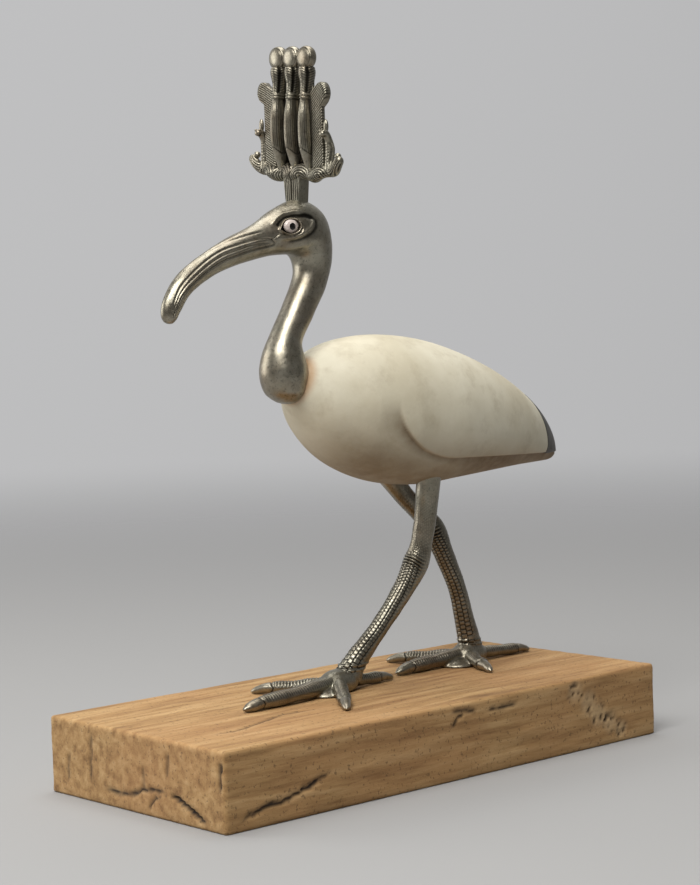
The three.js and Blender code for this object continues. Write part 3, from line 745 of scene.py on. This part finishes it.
UPPER_LIP = [
    (-145.6, 309), (-144.6, 312), (-138.8, 321.6), (-123, 334.1), (-106.8, 342.8), (-93.5, 346.6),
    (-84, 348.9), (-75, 350.4), (-70.5, 350.3), (-67.6, 348.9), (-65.9, 346.9),
]
LIP_PARTING = [
    (-145.4, 305.5), (-144.6, 308.6), (-139, 318.2), (-123.1, 330.7), (-107, 339.5), (-93.6, 343.4),
    (-84, 346), (-70.3, 348),
]
LOWER_LIP = [
    (-145.8, 302), (-144.9, 304.6), (-139, 315), (-123.3, 327.5), (-107.1, 336.3), (-93.8, 340.4),
    (-84.3, 343), (-75, 344.8), (-68.5, 346), (-65.9, 346.9),
]
BILL_BEVEL = [(-142, 323.5), (-134.6, 331), (-120, 340.2), (-104.4, 347.1), (-88, 351.8), (-72, 355.4)]


def eye_opening(y, z):
    """The distance outside the almond opening of the lids, and less than 0 inside it.

    In the eye's own slanting directions the almond's half height falls from its middle as one less the
    share of the length, squared in front and to a higher power behind, where the opening is rounder.
    """
    slant = np.radians(16)
    along = (y - EYE_MIDDLE[0]) * np.cos(slant) + (z - EYE_MIDDLE[1]) * np.sin(slant)
    up = (z - EYE_MIDDLE[1]) * np.cos(slant) - (y - EYE_MIDDLE[0]) * np.sin(slant)
    front = np.clip(-along / 7.4, 0, 1)
    back = np.clip(along / 6.2, 0, 1)
    half = 4.3 * np.where(along < 0, 1 - front ** 2, np.sqrt(1 - back ** 2.4))
    past = np.maximum(0, np.maximum(-along - 7.4, along - 6.2))
    return np.hypot(np.maximum(np.abs(up) - half, 0), past) + np.minimum(np.abs(up) - half, 0)


EYE_MIDDLE = (-55.2, 357.9)


def face_relief(y, z):
    """How far the face rises from the plain skin, in millimetres."""
    relief = scribed(y, z, BROW, 1.0, 1.2)
    relief += scribed(y, z, BROW_HOLLOW, -1.1, 1.9)
    relief += scribed(y, z, ORBIT, 1.0, 1.5)
    relief += scribed(y, z, ORBIT_FOOT, -0.7, 1.7)
    relief += scribed(y, z, UNDER_EYE, -0.7, 0.55)
    relief += scribed(y, z, CHEEK, 0.55, 1.9)
    relief += scribed(y, z, LORE_FOLD, -0.5, 0.6)
    for groove in (UPPER_LIP, LIP_PARTING, LOWER_LIP):
        relief += scribed(y, z, groove, -0.75, 0.62, 0.05)
        relief += scribed(y, z, groove, 0.35, 1.9, 0.05)
    relief += scribed(y, z, BILL_BEVEL, -0.3, 0.5, 0.1)
    relief += scribed(y, z, [(a, b + 1.5) for a, b in BILL_BEVEL], 0.3, 1.0, 0.1)
    outside = eye_opening(y, z)
    relief += 0.95 * np.exp(-((outside - 0.75) / 0.75) ** 2)
    return np.where(outside < 0.35, mix(-3.4, relief, rise(outside, -0.5, 0.35)), relief)


def with_face(points):
    """The head's skin with its relief, and a tone that is 1 in the grooves."""
    out = outward(points)
    relief = face_relief(points[..., 1], points[..., 2]) * rise(np.abs(out[..., 0]), 0.1, 0.45)
    worn = 0.12 * uneven(points, 9, 3) + 0.06 * uneven(points, 3.5, 4)
    return points + out * (relief + worn)[..., None], rise(-relief, 0.15, 0.8)


head_cast, head_groove = with_face(head_skin)
head_mesh = mesh_of("head_neck_and_bill", [skin(head_cast, groove=head_groove)])
HEAD = put_in(head_mesh, METAL, ["head_and_neck"])

# %% The eyes
EYE_Y, EYE_Z, EYE_OUT = -54.3, 358.0, 12.6
EYE_RADII = np.array([3.0, 5.8, 4.4])


def ovoid(centre, radii, around=48, rows=32):
    """A ball stretched along X, Y and Z: rings from its foot to its top."""
    up = np.linspace(-np.pi / 2, np.pi / 2, rows + 2)[1:-1, None]
    turn = np.linspace(0, 2 * np.pi, around, endpoint=False)
    ball = np.stack([np.cos(up) * np.cos(turn), np.cos(up) * np.sin(turn), np.sin(up) + 0 * turn], -1)
    return np.asarray(centre, float) + ball * radii


for side, name in ((1, "left_eye"), (-1, "right_eye")):
    ball = ovoid((BIRD_X + side * EYE_OUT, EYE_Y, EYE_Z), EYE_RADII)
    put_in(mesh_of(name + "_inlay", [skin(ball)]), INLAY, [name])

# %% [markdown]
# ## The crown
# The crown is one lost-wax casting. Fine parallel wires of wax gave its grooves, which climb the stem,
# fan out over the wavy horns and stripe the feathers. Here each form is a skin of its own, laid so that
# its rows of points follow the grooves, and all the skins together are one piece. It hangs a little
# lower on its left side, as the real one does.

# %% Places on the crown
CROWN_Y = -37.7
CROWN_FALL = 0.085


def crown_points(x, y, z):
    """Points of the crown from its own middle, lowered towards the left side."""
    x, y, z = np.broadcast_arrays(np.asarray(x, float), y, z)
    return np.stack([BIRD_X + x, CROWN_Y + y, z - CROWN_FALL * x], -1)


def ripple(value, pitch):
    """1 in the middle of each groove of the pitch, 0 on the ridge between two grooves."""
    return (0.5 - 0.5 * np.cos(2 * np.pi * value / pitch)) ** 1.4


# %% The stem and the horns
FAN_MIDDLES = ((8.7, 390.5), (26.4, 391.5))
FAN_PITCH = 1.85
HORN_START, HORN_REACH, HORN_Z = -1.5, 44.5, 393.3


def horn_height(out):
    """The height of a horn's middle line: a gentle wave, then a curl up at the tip."""
    t = (out - HORN_START) / (HORN_REACH - HORN_START)
    curl = 10 * (np.maximum(0, t - 0.55) / 0.45) ** 2
    return HORN_Z + 1.3 * np.cos(2 * np.pi * (out - 8) / 19.5) + curl


def fan_grooves(points):
    """Grooves that climb the stem, turn outwards in arcs, and run along the tips of the horns."""
    x = points[..., 0] - BIRD_X
    z = points[..., 2] + CROWN_FALL * x
    out = np.abs(x)
    (first_out, first_z), (second_out, second_z) = FAN_MIDDLES
    radius = np.where(z < first_z, np.abs(out - first_out), np.hypot(out - first_out, z - first_z))
    radius = np.where(out > 17.4, np.hypot(out - second_out, z - second_z), radius)
    radius = np.where(out > 34, z - horn_height(out), radius)
    return ripple(radius, FAN_PITCH)


def stem():
    """The stem widens upwards. Its front has two bands of ribs with a deep groove between them."""
    z = np.linspace(373.5, 392, 50)[:, None]
    half = mix(6.4, 8.2, (z - 373.5) / 16.5)
    front, back, flank = np.linspace(-1, 1, 74), np.linspace(1, -1, 16), np.linspace(-1, 1, 14)[1:-1]
    x = np.concatenate([front, np.ones(12), back, -np.ones(12)])
    y = np.concatenate([-np.ones(74), flank, np.ones(16), -flank])
    rounding = 1 - 0.06 * np.abs(x * y) ** 8
    level = z + 0 * x
    points = np.stack([BIRD_X + x * half * rounding, CROWN_Y + 4.7 * y * rounding + 0 * z, level], -1)
    on_front = (y < -0.99) & (np.abs(x) < 0.97)
    middle = np.exp(-((points[..., 0] - BIRD_X) / 0.8) ** 4)
    groove = np.where(on_front, np.maximum(fan_grooves(points), middle), 0)
    points[..., 1] += 0.55 * groove + 0.9 * np.where(on_front, middle, 0)
    return skin(points, groove=groove)


def horn(side):
    """A wavy horn that goes out level from the stem, fans of grooves on its front."""

    def path(t):
        out = mix(HORN_START, HORN_REACH, t)
        turn = 2 * np.pi * (out - 8) / 19.5
        return crown_points(1.2 + side * out, 1.3 * np.sin(turn), horn_height(out))

    def sizes(t):
        radius = mix(5.3, 3, t ** 1.6) * dome(t, 0, 0.05)
        return radius, radius

    t = np.concatenate([np.linspace(0, 0.95, 180)[:-1], np.linspace(0.95, 0.9999, 12)])
    points = rings_along(path, sizes, (0, 1, 0), t, 76)
    out = outward(points)
    groove = fan_grooves(points) * rise(-out[..., 1], -0.3, 0.2) * rise(0.985 - t, 0, 0.03)[:, None]
    return skin(points - 0.5 * out * groove[..., None], groove=groove)


# %% [markdown]
# The three bundles of papyrus stand side by side. Each is a long oval shaft of fine stalks. A leaf wraps
# its foot, a double cord ties it near the top, and the flower's leaves flare out above the tie.

# %% The papyrus bundles and their sun discs
BUNDLE_GAP = 13.8
BUNDLE_FOOT, BUNDLE_TOP = 396.0, 461.5
BUNDLE_STATIONS = [
    [1.6, 0, 2.4], [3.4, 0.15, 4.8], [4.3, 0.3, 6.6], [4, 0.5, 6.2],
    [3, 0.68, 4.8], [3.4, 0.8, 5], [5.2, 0.95, 6.2], [4.7, 1, 5.6],
]
TIE = (0.695, 0.722)
STALKS = 26
bundle_line = through(BUNDLE_STATIONS)


def bundle(place):
    """A tied bundle of papyrus from its narrow foot to its flared head."""

    def path(t):
        share = bundle_line(t)[..., 1]
        forward = 2 * np.sin(np.pi * np.minimum(1, share / 0.85))
        return crown_points(place * BUNDLE_GAP, -forward, mix(BUNDLE_FOOT, BUNDLE_TOP, share))

    def sizes(t):
        line = bundle_line(t)
        return line[..., 2], line[..., 0]

    t = np.linspace(0, 1, 150)
    points = rings_along(path, sizes, (1, 0, 0), t, 68)
    angle = np.linspace(0, 2 * np.pi, 68, endpoint=False)
    share = bundle_line(t)[:, 1, None]
    height = (BUNDLE_TOP - BUNDLE_FOOT) * share
    leaf_edge = 0.175 + 0.035 * np.cos(2 * angle)
    in_leaf = rise(leaf_edge - share, -0.006, 0.006)
    in_head = rise(share, TIE[1] + 0.012, TIE[1] + 0.03)
    stalk = ripple(angle * STALKS / (2 * np.pi) + 0 * share, 1) * (1 - in_leaf) * (1 - in_head)
    from_leaf = np.abs((angle + np.pi) % (2 * np.pi / 3) - np.pi / 3)
    slant = ripple(height + 2.2 * from_leaf, 1.6) * in_head
    parting = np.exp(-((np.abs(np.sin(1.5 * angle)) - 1) / 0.06) ** 2) * in_head
    cords = sum(np.exp(-((share - tie) / 0.0085) ** 2) for tie in TIE) + 0 * angle
    tip_line = np.exp(-((share - leaf_edge) / 0.006) ** 2)
    groove = np.clip(0.8 * (stalk + slant + tip_line) + parting, 0, 1)
    relief = 0.35 * in_leaf + 0.75 * cords - 0.3 * groove * (1 - cords) - 0.25 * parting
    return skin(points + outward(points) * relief[..., None], groove=groove * (1 - np.clip(cords, 0, 1)))


def sun_disc(place):
    """A sun disc: a smooth lens with a narrow raised rim."""
    middle = crown_points(place * BUNDLE_GAP, 0, 467.6)
    across = np.linspace(0, 1, 32)[1:]
    face = np.concatenate([across, across[::-1]])[:, None]
    side = np.concatenate([-np.ones(31), np.ones(31)])[:, None]
    turn = np.linspace(0, 2 * np.pi, 48, endpoint=False)
    thick = 4.4 * (1 - face ** 2.6) ** 0.5 + 0.35 * np.exp(-((face - 0.9) / 0.05) ** 2)
    points = np.stack([7.7 * face * np.cos(turn), side * thick + 0 * turn, 7.7 * face * np.sin(turn)], -1)
    seam = np.exp(-((face - 0.82) / 0.035) ** 2) * 0.6 + 0 * turn
    return skin(middle + points, groove=seam)


def web():
    """The plate that the casting leaves behind and between the bundles, painted dark all over as painted
    shade.
    """
    corners = [(-17, 1.6), (17, 1.6), (17, 3.4), (-17, 3.4)]
    rings = np.array([[crown_points(x, y, z) for x, y in corners] for z in (395, 425, 456)])
    # A strong groove tone all over makes the plate dark, as painted shade in the gaps between the bundles.
    return skin(rings, groove=np.full(rings.shape[:2], 0.75))


# %% [markdown]
# A feather is a plate whose front is cut into fine slanting barbs. A grid in level rows would break the
# slanting lines into steps, so each row of this grid runs along the slant, from one edge of the feather
# to the other. The row's two ends are where the slanting line meets the feather's outline.

# %% The feathers
FEATHER_FOOT, FEATHER_TOP = 395.0, 452.0
FEATHER_INNER, FEATHER_OUTER = 18.0, 28.0
BARB_PITCH = 1.38
BARB_SLOPE = {1: np.radians(42), -1: np.radians(25)}


def inside_feather(x, z):
    """Whether places lie inside the outline: a straight shaft under a tip that swells outwards."""
    swell = np.hypot((x - 28.7) / 5.6, (z - (FEATHER_TOP - 6.8)) / 6.8) < 1
    shoulder = (x > FEATHER_INNER) & (x < 28.7) & (z < FEATHER_TOP - 6.8 + 6.8 * rise(x, 16.5, 29))
    foot = FEATHER_OUTER - 3 * rise(FEATHER_FOOT + 12 - z, 0, 12)
    shaft = (x > FEATHER_INNER) & (x < foot) & (z < FEATHER_TOP - 10)
    return (swell | shoulder | shaft) & (z > FEATHER_FOOT) & (x > FEATHER_INNER)


def feather(side):
    """Rows along the slant of the barbs, each a flat loop over the front, round the edge and back."""
    slope = BARB_SLOPE[side]
    step = BARB_PITCH / np.cos(slope) / 6
    base = np.arange(FEATHER_FOOT - 14 * np.tan(slope), FEATHER_TOP, step)[:, None]
    x = np.linspace(FEATHER_INNER, 35, 240)
    inside = inside_feather(x, base + (x - FEATHER_INNER) * np.tan(slope))
    rows = inside.sum(1) > 12
    base, inside = base[rows], inside[rows]
    start = x[inside.argmax(1)][:, None]
    end = x[len(x) - 1 - inside[:, ::-1].argmax(1)][:, None]
    across = np.concatenate([np.linspace(0, 1, 16), np.linspace(1, 0, 10)])
    front = np.arange(26) < 16
    place = mix(start, end, across)
    z = base + (place - FEATHER_INNER) * np.tan(slope)
    tip = rise(z, FEATHER_TOP - 16, FEATHER_TOP - 8) * rise(place, 25, 31)
    edge = np.sqrt(np.clip(1 - np.abs(2 * across - 1) ** 8, 0, 1))
    barb = ripple(base * np.cos(slope), BARB_PITCH) * np.where(front, 1, 0.35)
    depth = (2.2 + 1.1 * tip) * (0.55 + 0.45 * edge) - 0.5 * barb * edge
    points = crown_points(side * place, np.where(front, -depth, depth), z)
    return skin(points, groove=barb * np.where(front, 1, 0.4))


# %% [markdown]
# Outside the feathers two cobras rear up on the horns. Each has a broad hood with a ribbed band down its
# front, a blunt head that leans forward, and a slim crest on top.

# %% The cobras
COBRA_X = 32.0
COBRA_LINE = [[0, 395], [1, 402], [1.5, 409], [0.5, 415], [-2.6, 419], [-6.5, 418]]
COBRA_SIZES = [[3, 0, 3], [3.4, 1, 2.8], [4.2, 2, 2.6], [2.8, 3, 2.4], [2.9, 4, 2.6], [1.8, 5, 1.6]]
cobra_sizes = through(COBRA_SIZES)


def cobra(side):
    """A rearing cobra that faces forward, its hood spread."""
    path = through([crown_points(side * COBRA_X, y, z) for y, z in COBRA_LINE])

    def sizes(t):
        line = cobra_sizes(t)
        return line[..., 2] * dome(t, 0, 0.08), line[..., 0] * dome(t, 0, 0.08)

    t = np.linspace(0, 0.999, 100)
    points = rings_along(path, sizes, (1, 0, 0), t, 44)
    angle = np.linspace(-np.pi, np.pi, 44, endpoint=False)
    angle = np.roll(angle, 22)
    hood = rise(t, 0.05, 0.2)[:, None] * rise(0.62 - t, 0, 0.15)[:, None]
    band = np.exp(-(angle / 0.38) ** 4)
    ladder = ripple(t[:, None] * 17 + 0 * angle, 1) * band * hood
    sides = np.exp(-((np.abs(angle) - 0.95) / 0.3) ** 2) * hood
    relief = 0.35 * band * hood - 0.3 * ladder - 0.7 * sides
    groove = np.clip(0.7 * (ladder + sides), 0, 1)
    return skin(points + outward(points) * relief[..., None], groove=groove)


def cobra_trims(side):
    """The crest, the two eyes and the ball of the horn's tip beside each cobra."""
    crest = ovoid(crown_points(side * COBRA_X, -1.2, 423.6), (1.9, 1.5, 4.6), 24, 16)
    eyes = [crown_points(side * COBRA_X + x, -4.6, 420.6) for x in (-1.9, 1.9)]
    brows = [ovoid(eye, (0.9, 1.1, 0.8), 12, 8) for eye in eyes]
    ball = ovoid(crown_points(1.2 + side * 40, 0, 404.5), (2.3, 2.3, 2.3), 24, 16)
    return [skin(form) for form in (crest, *brows, ball)]


# %% The whole crown


def crown_skins():
    parts = [stem(), web()]
    for place in (-1, 0, 1):
        parts += [bundle(place), sun_disc(place)]
    for side in (-1, 1):
        parts += [horn(side), feather(side), cobra(side), *cobra_trims(side)]
    return parts


CROWN = put_in(mesh_of("papyrus_crown", crown_skins()), METAL, ["crown"])

# %% [markdown]
# ## Legs and feet
# Each leg is one casting. The founder modelled the skin of the living bird in the wax: broad plates down
# the front of the shank, small scales elsewhere, wrinkles at the joint, cross-ridges on the toes, and
# smooth blunt claws. A skin along each bone carries that relief. Where bones meet, one rounded form is
# melted together from simple parts, so the foot has soft webs between its toes.

# %% Stations of the two legs
SOLE = 50.3
LEGS = {
    "left_leg": {
        "stations": [
            [8.5, 57.5, 192], [4.5, 57.5, 165], [1, 55.5, 142], [-1, 51.5, 128.5],
            [-2.5, 41.5, 113], [-4, 18, 87.5], [-4, -5, 67], [-4, -11.5, 58],
        ],
        "radii": [8.8, 7.9, 7.6, 9.1, 7.3, 6.4, 7.9, 9.8],
        "joint": 3 / 7,
        "hub": [-4, -20, 55.5],
        "tips": [[6, -110.6], [-43.8, -63.3], [53.6, -64.4], [-8.7, 34.6]],
        "bends": [3, 3, 0, 0],
    },
    "right_leg": {
        "stations": [
            [-28.5, 50, 192], [-26, 68, 171], [-23, 81, 157.5], [-20.5, 88.5, 147],
            [-18.5, 94.5, 132], [-16.5, 106, 104], [-16.5, 113.5, 77], [-16.5, 118, 60],
        ],
        "radii": [8.2, 7, 7.2, 8.4, 7.2, 6.4, 7.4, 8.6],
        "joint": 3 / 7,
        "hub": [-16.5, 116, 55.5],
        "tips": [[-15.8, 43.5], [-63, 78.4], [28.6, 92.6], [-17, 179.5]],
        "bends": [0, 3, -2, 0],
    },
}
TOE_THICKNESS = [1.01, 0.86, 0.86, 0.8]
CLAW_LENGTH = 15.0

# %% Scales


def lengths_along(points):
    """The length along each row's middle from the first ring, in millimetres."""
    middles = points.mean(axis=1)
    steps = np.linalg.norm(np.diff(middles, axis=0), axis=-1)
    return np.concatenate([[0], np.cumsum(steps)])[:, None]


def plates(rows, columns, row_size, column_size):
    """1 on the lines between plates laid like bricks; the sizes are in millimetres."""
    shifted = rows + 0.5 * (np.floor(columns) % 2)
    to_row = np.abs(shifted - np.round(shifted)) * row_size
    to_column = np.abs(columns - np.round(columns)) * column_size
    return np.clip(np.exp(-(to_row / 0.42) ** 2) + np.exp(-(to_column / 0.42) ** 2), 0, 1)


def pebbles(points, size, seed):
    """Small round scales: 1 in the dips between them."""
    wander = np.stack([uneven(points, 3 * size, seed + i) for i in range(3)], -1) * size * 0.6
    x, y, z = np.moveaxis((points + wander) / size * np.pi, -1, 0)
    return np.clip(0.5 - 0.5 * np.cos(x + y) * np.cos(y + z) * np.cos(z - x) - 0.1, 0, 1)


# %% The shank


def shank(stations, radii, joint):
    """The bone from the body to the foot, with plates in front, small scales behind and rings below."""
    path, radius = through(stations), sizes_through(radii)
    t = np.linspace(0, 1, 305)
    sides = 116
    points = rings_along(path, lambda t: (radius(t) * 0.94, radius(t) * 1.04), (0, 1, 0), t, sides)
    out = outward(points)
    length = lengths_along(points)
    t = t[:, None]
    angle = np.linspace(0, 2 * np.pi, sides, endpoint=False)
    front = (angle - 1.5 * np.pi + np.pi) % (2 * np.pi) - np.pi
    below = rise(t, joint - 0.02, joint + 0.06)
    plate_height = mix(2.0, 3.7, np.clip((t - joint) / (1 - joint), 0, 1))
    rows = np.cumsum(np.gradient(length[:, 0])[:, None] / plate_height, axis=0)
    across = mix(3.0, 4.4, rise(t, joint, 1))
    columns = front * radius(t) / across + 0.5
    plate = plates(rows, columns, plate_height, across) * rise(1.75 - np.abs(front), 0, 0.4) * below
    small = pebbles(points, 1.9, 11) * (1 - below * rise(1.75 - np.abs(front), 0, 0.4))
    small = small * rise(length, 10, 24) * mix(1, 0.35, rise(np.abs(front), 1.9, 2.8))
    from_joint = length - np.interp(joint, t[:, 0], length[:, 0])
    wrinkled = np.exp(-(from_joint / 5.5) ** 2) * rise(1.7 - np.abs(front), 0, 0.6)
    wrinkle = ripple(from_joint + 0.8 * np.cos(2 * front), 2.6) * wrinkled
    height = points[..., 2]
    rings = sum(np.exp(-((height - level) / 0.75) ** 2) for level in (66.5, 63.2))
    between = np.exp(-((height - 64.9) / 0.5) ** 2)
    groove = np.clip(plate + 0.75 * small + wrinkle + between, 0, 1)
    relief = -0.42 * plate - 0.38 * small - 0.7 * wrinkle + 0.6 * rings + 0.35 * wrinkled
    relief += 0.25 * uneven(points, 8, 21)
    return skin(points + out * relief[..., None], groove=groove)


# %% The toes


def toe_shape(hub, tip, bend, thickness):
    """The path and half sizes of a toe that lies on the plinth, with knuckles and a claw."""
    hub = np.array(hub, float)
    along = np.array([*tip, hub[2]]) - hub
    length = np.linalg.norm(along)
    aside = np.array([-along[1], along[0], 0]) / length
    claw = 1 - CLAW_LENGTH / length

    def path(t):
        height = SOLE + 3.9 * thickness + 3 * (1 - t) ** 2 - 2.2 * rise(t, 0.8, 1)
        place = hub + along * t[..., None] + aside * (bend * np.sin(np.pi * t))[..., None]
        return np.concatenate([place[..., :2], height[..., None]], -1)

    def sizes(t):
        taper = mix(1.12, 0.92, t) * (1 + 0.07 * np.cos(6 * np.pi * t))
        nail = np.where(t > claw, 1 - 0.6 * (np.maximum(0, t - claw) / (1 - claw)) ** 2, 1)
        radius = 5.1 * thickness * taper * nail * dome(t, 0, 0.07)
        return radius, radius * 0.94

    return path, sizes, claw


def toe(hub, tip, bend, thickness):
    """A toe with ridges across its back, small scales on its sides and a smooth claw."""
    path, sizes, claw = toe_shape(hub, tip, bend, thickness)
    t = np.concatenate([np.linspace(0.06, 0.93, 175)[:-1], np.linspace(0.93, 0.9995, 20)])
    sides = 44
    points = rings_along(path, sizes, (0, 0, 1), t, sides)
    out = outward(points)
    length = lengths_along(points)
    t = t[:, None]
    upward = out[..., 2]
    soft = rise(claw - t, 0, 0.03)
    ridges = ripple(length, 2.1) * rise(upward, 0.1, 0.5) * soft
    small = pebbles(points, 1.7, 31) * rise(0.5 - upward, 0, 0.4) * soft
    lean_back = 1.6 * (1 - np.abs(out[..., 2])) / length.max()
    cuticle = np.exp(-((t + lean_back - claw - 0.012) / (0.55 / length.max())) ** 2)
    groove = np.clip(ridges * 0.8 + small * 0.7 + cuticle, 0, 1)
    relief = -0.45 * ridges - 0.35 * small - 0.7 * cuticle + 0.35 * soft - 0.2
    points = points + out * relief[..., None]
    points[..., 2] = np.maximum(points[..., 2], SOLE)
    return skin(points, groove=groove)


# %% The foot's soft middle


def melted(forms, voxel, rounds):
    """One rounded skin round several simple forms: melted together in small cubes, then smoothed."""
    raw = bpy.data.objects.new("raw", mesh_of("raw", forms))
    bpy.context.scene.collection.objects.link(raw)
    join = raw.modifiers.new("join", "REMESH")
    join.mode = "VOXEL"
    join.voxel_size = voxel * MM
    smooth = raw.modifiers.new("smooth", "SMOOTH")
    smooth.factor = 0.5
    smooth.iterations = rounds
    mesh = bpy.data.meshes.new_from_object(raw.evaluated_get(bpy.context.evaluated_depsgraph_get()))
    bpy.data.objects.remove(raw)
    points, faces = np.zeros(len(mesh.vertices) * 3), np.zeros(len(mesh.loops), int)
    normals = np.zeros(len(mesh.vertices) * 3)
    mesh.vertices.foreach_get("co", points)
    mesh.vertices.foreach_get("normal", normals)
    mesh.loops.foreach_get("vertex_index", faces)
    bpy.data.meshes.remove(mesh)
    return points.reshape(-1, 3) / MM, normals.reshape(-1, 3), faces.reshape(-1, 4)


def foot_middle(stations, radii, hub, tips, bends):
    """The ankle, the palm and the webs between the roots of the toes."""
    path, radius = through(stations), sizes_through(radii)
    ankle = np.linspace(0.9, 1, 12)
    shank_end = rings_along(path, lambda t: (radius(t) * 0.95, radius(t)), (0, 1, 0), ankle, 24)
    web_middle = np.array(hub) + [0, -13, 50 - hub[2]]
    forms = [skin(shank_end), skin(ovoid(hub, (11, 15, 9.5))), skin(ovoid(web_middle, (17, 16, 5.5)))]
    for tip, bend, thickness in zip(tips, bends, TOE_THICKNESS):
        toe_path, toe_sizes, _ = toe_shape(hub, tip, bend, thickness)
        forms.append(skin(rings_along(toe_path, toe_sizes, (0, 0, 1), np.linspace(0, 0.42, 20), 20)))
    points, normals, faces = melted(forms, 0.8, 12)
    dips = pebbles(points, 1.9, 41)
    points = points - normals * (0.3 * dips)[:, None]
    points[:, 2] = np.maximum(points[:, 2], SOLE)
    return {"points": points, "faces": faces, "fans": np.zeros((0, 3), int), "tones": {"groove": 0.6 * dips}}


# %% The two legs


def leg_skins(stations, radii, joint, hub, tips, bends):
    toes = [toe(hub, tip, bend, thick) for tip, bend, thick in zip(tips, bends, TOE_THICKNESS)]
    return [shank(stations, radii, joint), foot_middle(stations, radii, hub, tips, bends), *toes]


for name, form in LEGS.items():
    put_in(mesh_of("cast_" + name, leg_skins(**form)), METAL, [name])

# %% [markdown]
# ## The studio
# The statue stands on a pale grey floor that runs into a pale grey room without an edge. The floor's
# material fades to nothing a few metres out, where the room's own light takes over. The room is brightest
# behind and above the statue and darker on the other side, which gives cast metal something to reflect.

# %% The floor
FLOOR_HALF = 6.0
FLOOR_FADE = (0.35, 3.0)


def floor_material():
    """Even grey that turns see-through with the distance from the statue."""
    n = Nodes("pale_floor")
    distance = n.add("ShaderNodeVectorMath", {0: n.place}, operation="LENGTH").outputs["Value"]
    fade = {0: distance, 1: FLOOR_FADE[0], 2: FLOOR_FADE[1]}
    far = n.add("ShaderNodeMapRange", fade, interpolation_type="SMOOTHSTEP")
    solid = n.math("SUBTRACT", 1.0, far.outputs[0])
    return n.finish(Base_Color=(0.33, 0.33, 0.33, 1), Roughness=0.95, Alpha=solid)


floor_mesh = bpy.data.meshes.new("floor")
square = np.array([(-1, -1, 0), (1, -1, 0), (1, 1, 0), (-1, 1, 0)]) * FLOOR_HALF
floor_mesh.from_pydata(square.tolist(), [], [(0, 1, 2, 3)])
floor_mesh.materials.append(floor_material())
floor = bpy.data.objects.new("floor", floor_mesh)
bpy.context.scene.collection.objects.link(floor)
print("floor", 2 * FLOOR_HALF, "m wide")

# %% The room's light
ROOM_BRIGHT_SIDE = (-0.88, 0.42, 0.22)
ROOM_STOPS = [(0.0, 0.08), (0.5, 0.16), (0.8, 0.36), (0.93, 0.47), (1.0, 0.53)]

room = bpy.data.worlds.new("room")
room.use_nodes = True
room_nodes = room.node_tree.nodes
direction = room_nodes.new("ShaderNodeTexCoord").outputs["Generated"]
facing = room_nodes.new("ShaderNodeVectorMath")
facing.operation = "DOT_PRODUCT"
facing.inputs[1].default_value = ROOM_BRIGHT_SIDE
share = room_nodes.new("ShaderNodeMapRange")
share.inputs["From Min"].default_value = -1
brightness = room_nodes.new("ShaderNodeValToRGB")
stops = brightness.color_ramp.elements
while len(stops) < len(ROOM_STOPS):
    stops.new(0.5)
for stop, (position, grey) in zip(stops, ROOM_STOPS):
    stop.position = position
    stop.color = (grey, grey, grey * 1.01, 1)
for first, second in (
    (direction, facing.inputs[0]),
    (facing.outputs["Value"], share.inputs["Value"]),
    (share.outputs[0], brightness.inputs["Fac"]),
    (brightness.outputs["Color"], room_nodes["Background"].inputs["Color"]),
):
    room.node_tree.links.new(first, second)
bpy.context.scene.world = room
print("room light has", len(stops), "steps of grey")

# %% The lamps


def softbox(name, place, aim, width, height, power):
    """An oblong lamp at a place, turned towards an aim, of slightly warm white."""
    data = bpy.data.lights.new(name, "AREA")
    data.shape = "RECTANGLE"
    data.size = width
    data.size_y = height
    data.energy = power
    data.color = (1.0, 0.98, 0.95)
    lamp = bpy.data.objects.new(name, data)
    lamp.location = place
    lamp.rotation_euler = (Vector(aim) - Vector(place)).to_track_quat("-Z", "Y").to_euler()
    bpy.context.scene.collection.objects.link(lamp)
    print(name, "gives", power, "W")


softbox("key", (0.65, -1.15, 1.75), (0, 0, 0.25), 1.1, 1.1, 42)
softbox("overhead", (-0.3, 0.2, 2.1), (0, 0, 0.25), 1.4, 1.4, 24)
softbox("left_side", (-1.45, -1.2, 0.7), (0, 0, 0.32), 1.0, 1.3, 15)
bpy.context.scene.view_settings.view_transform = "Standard"
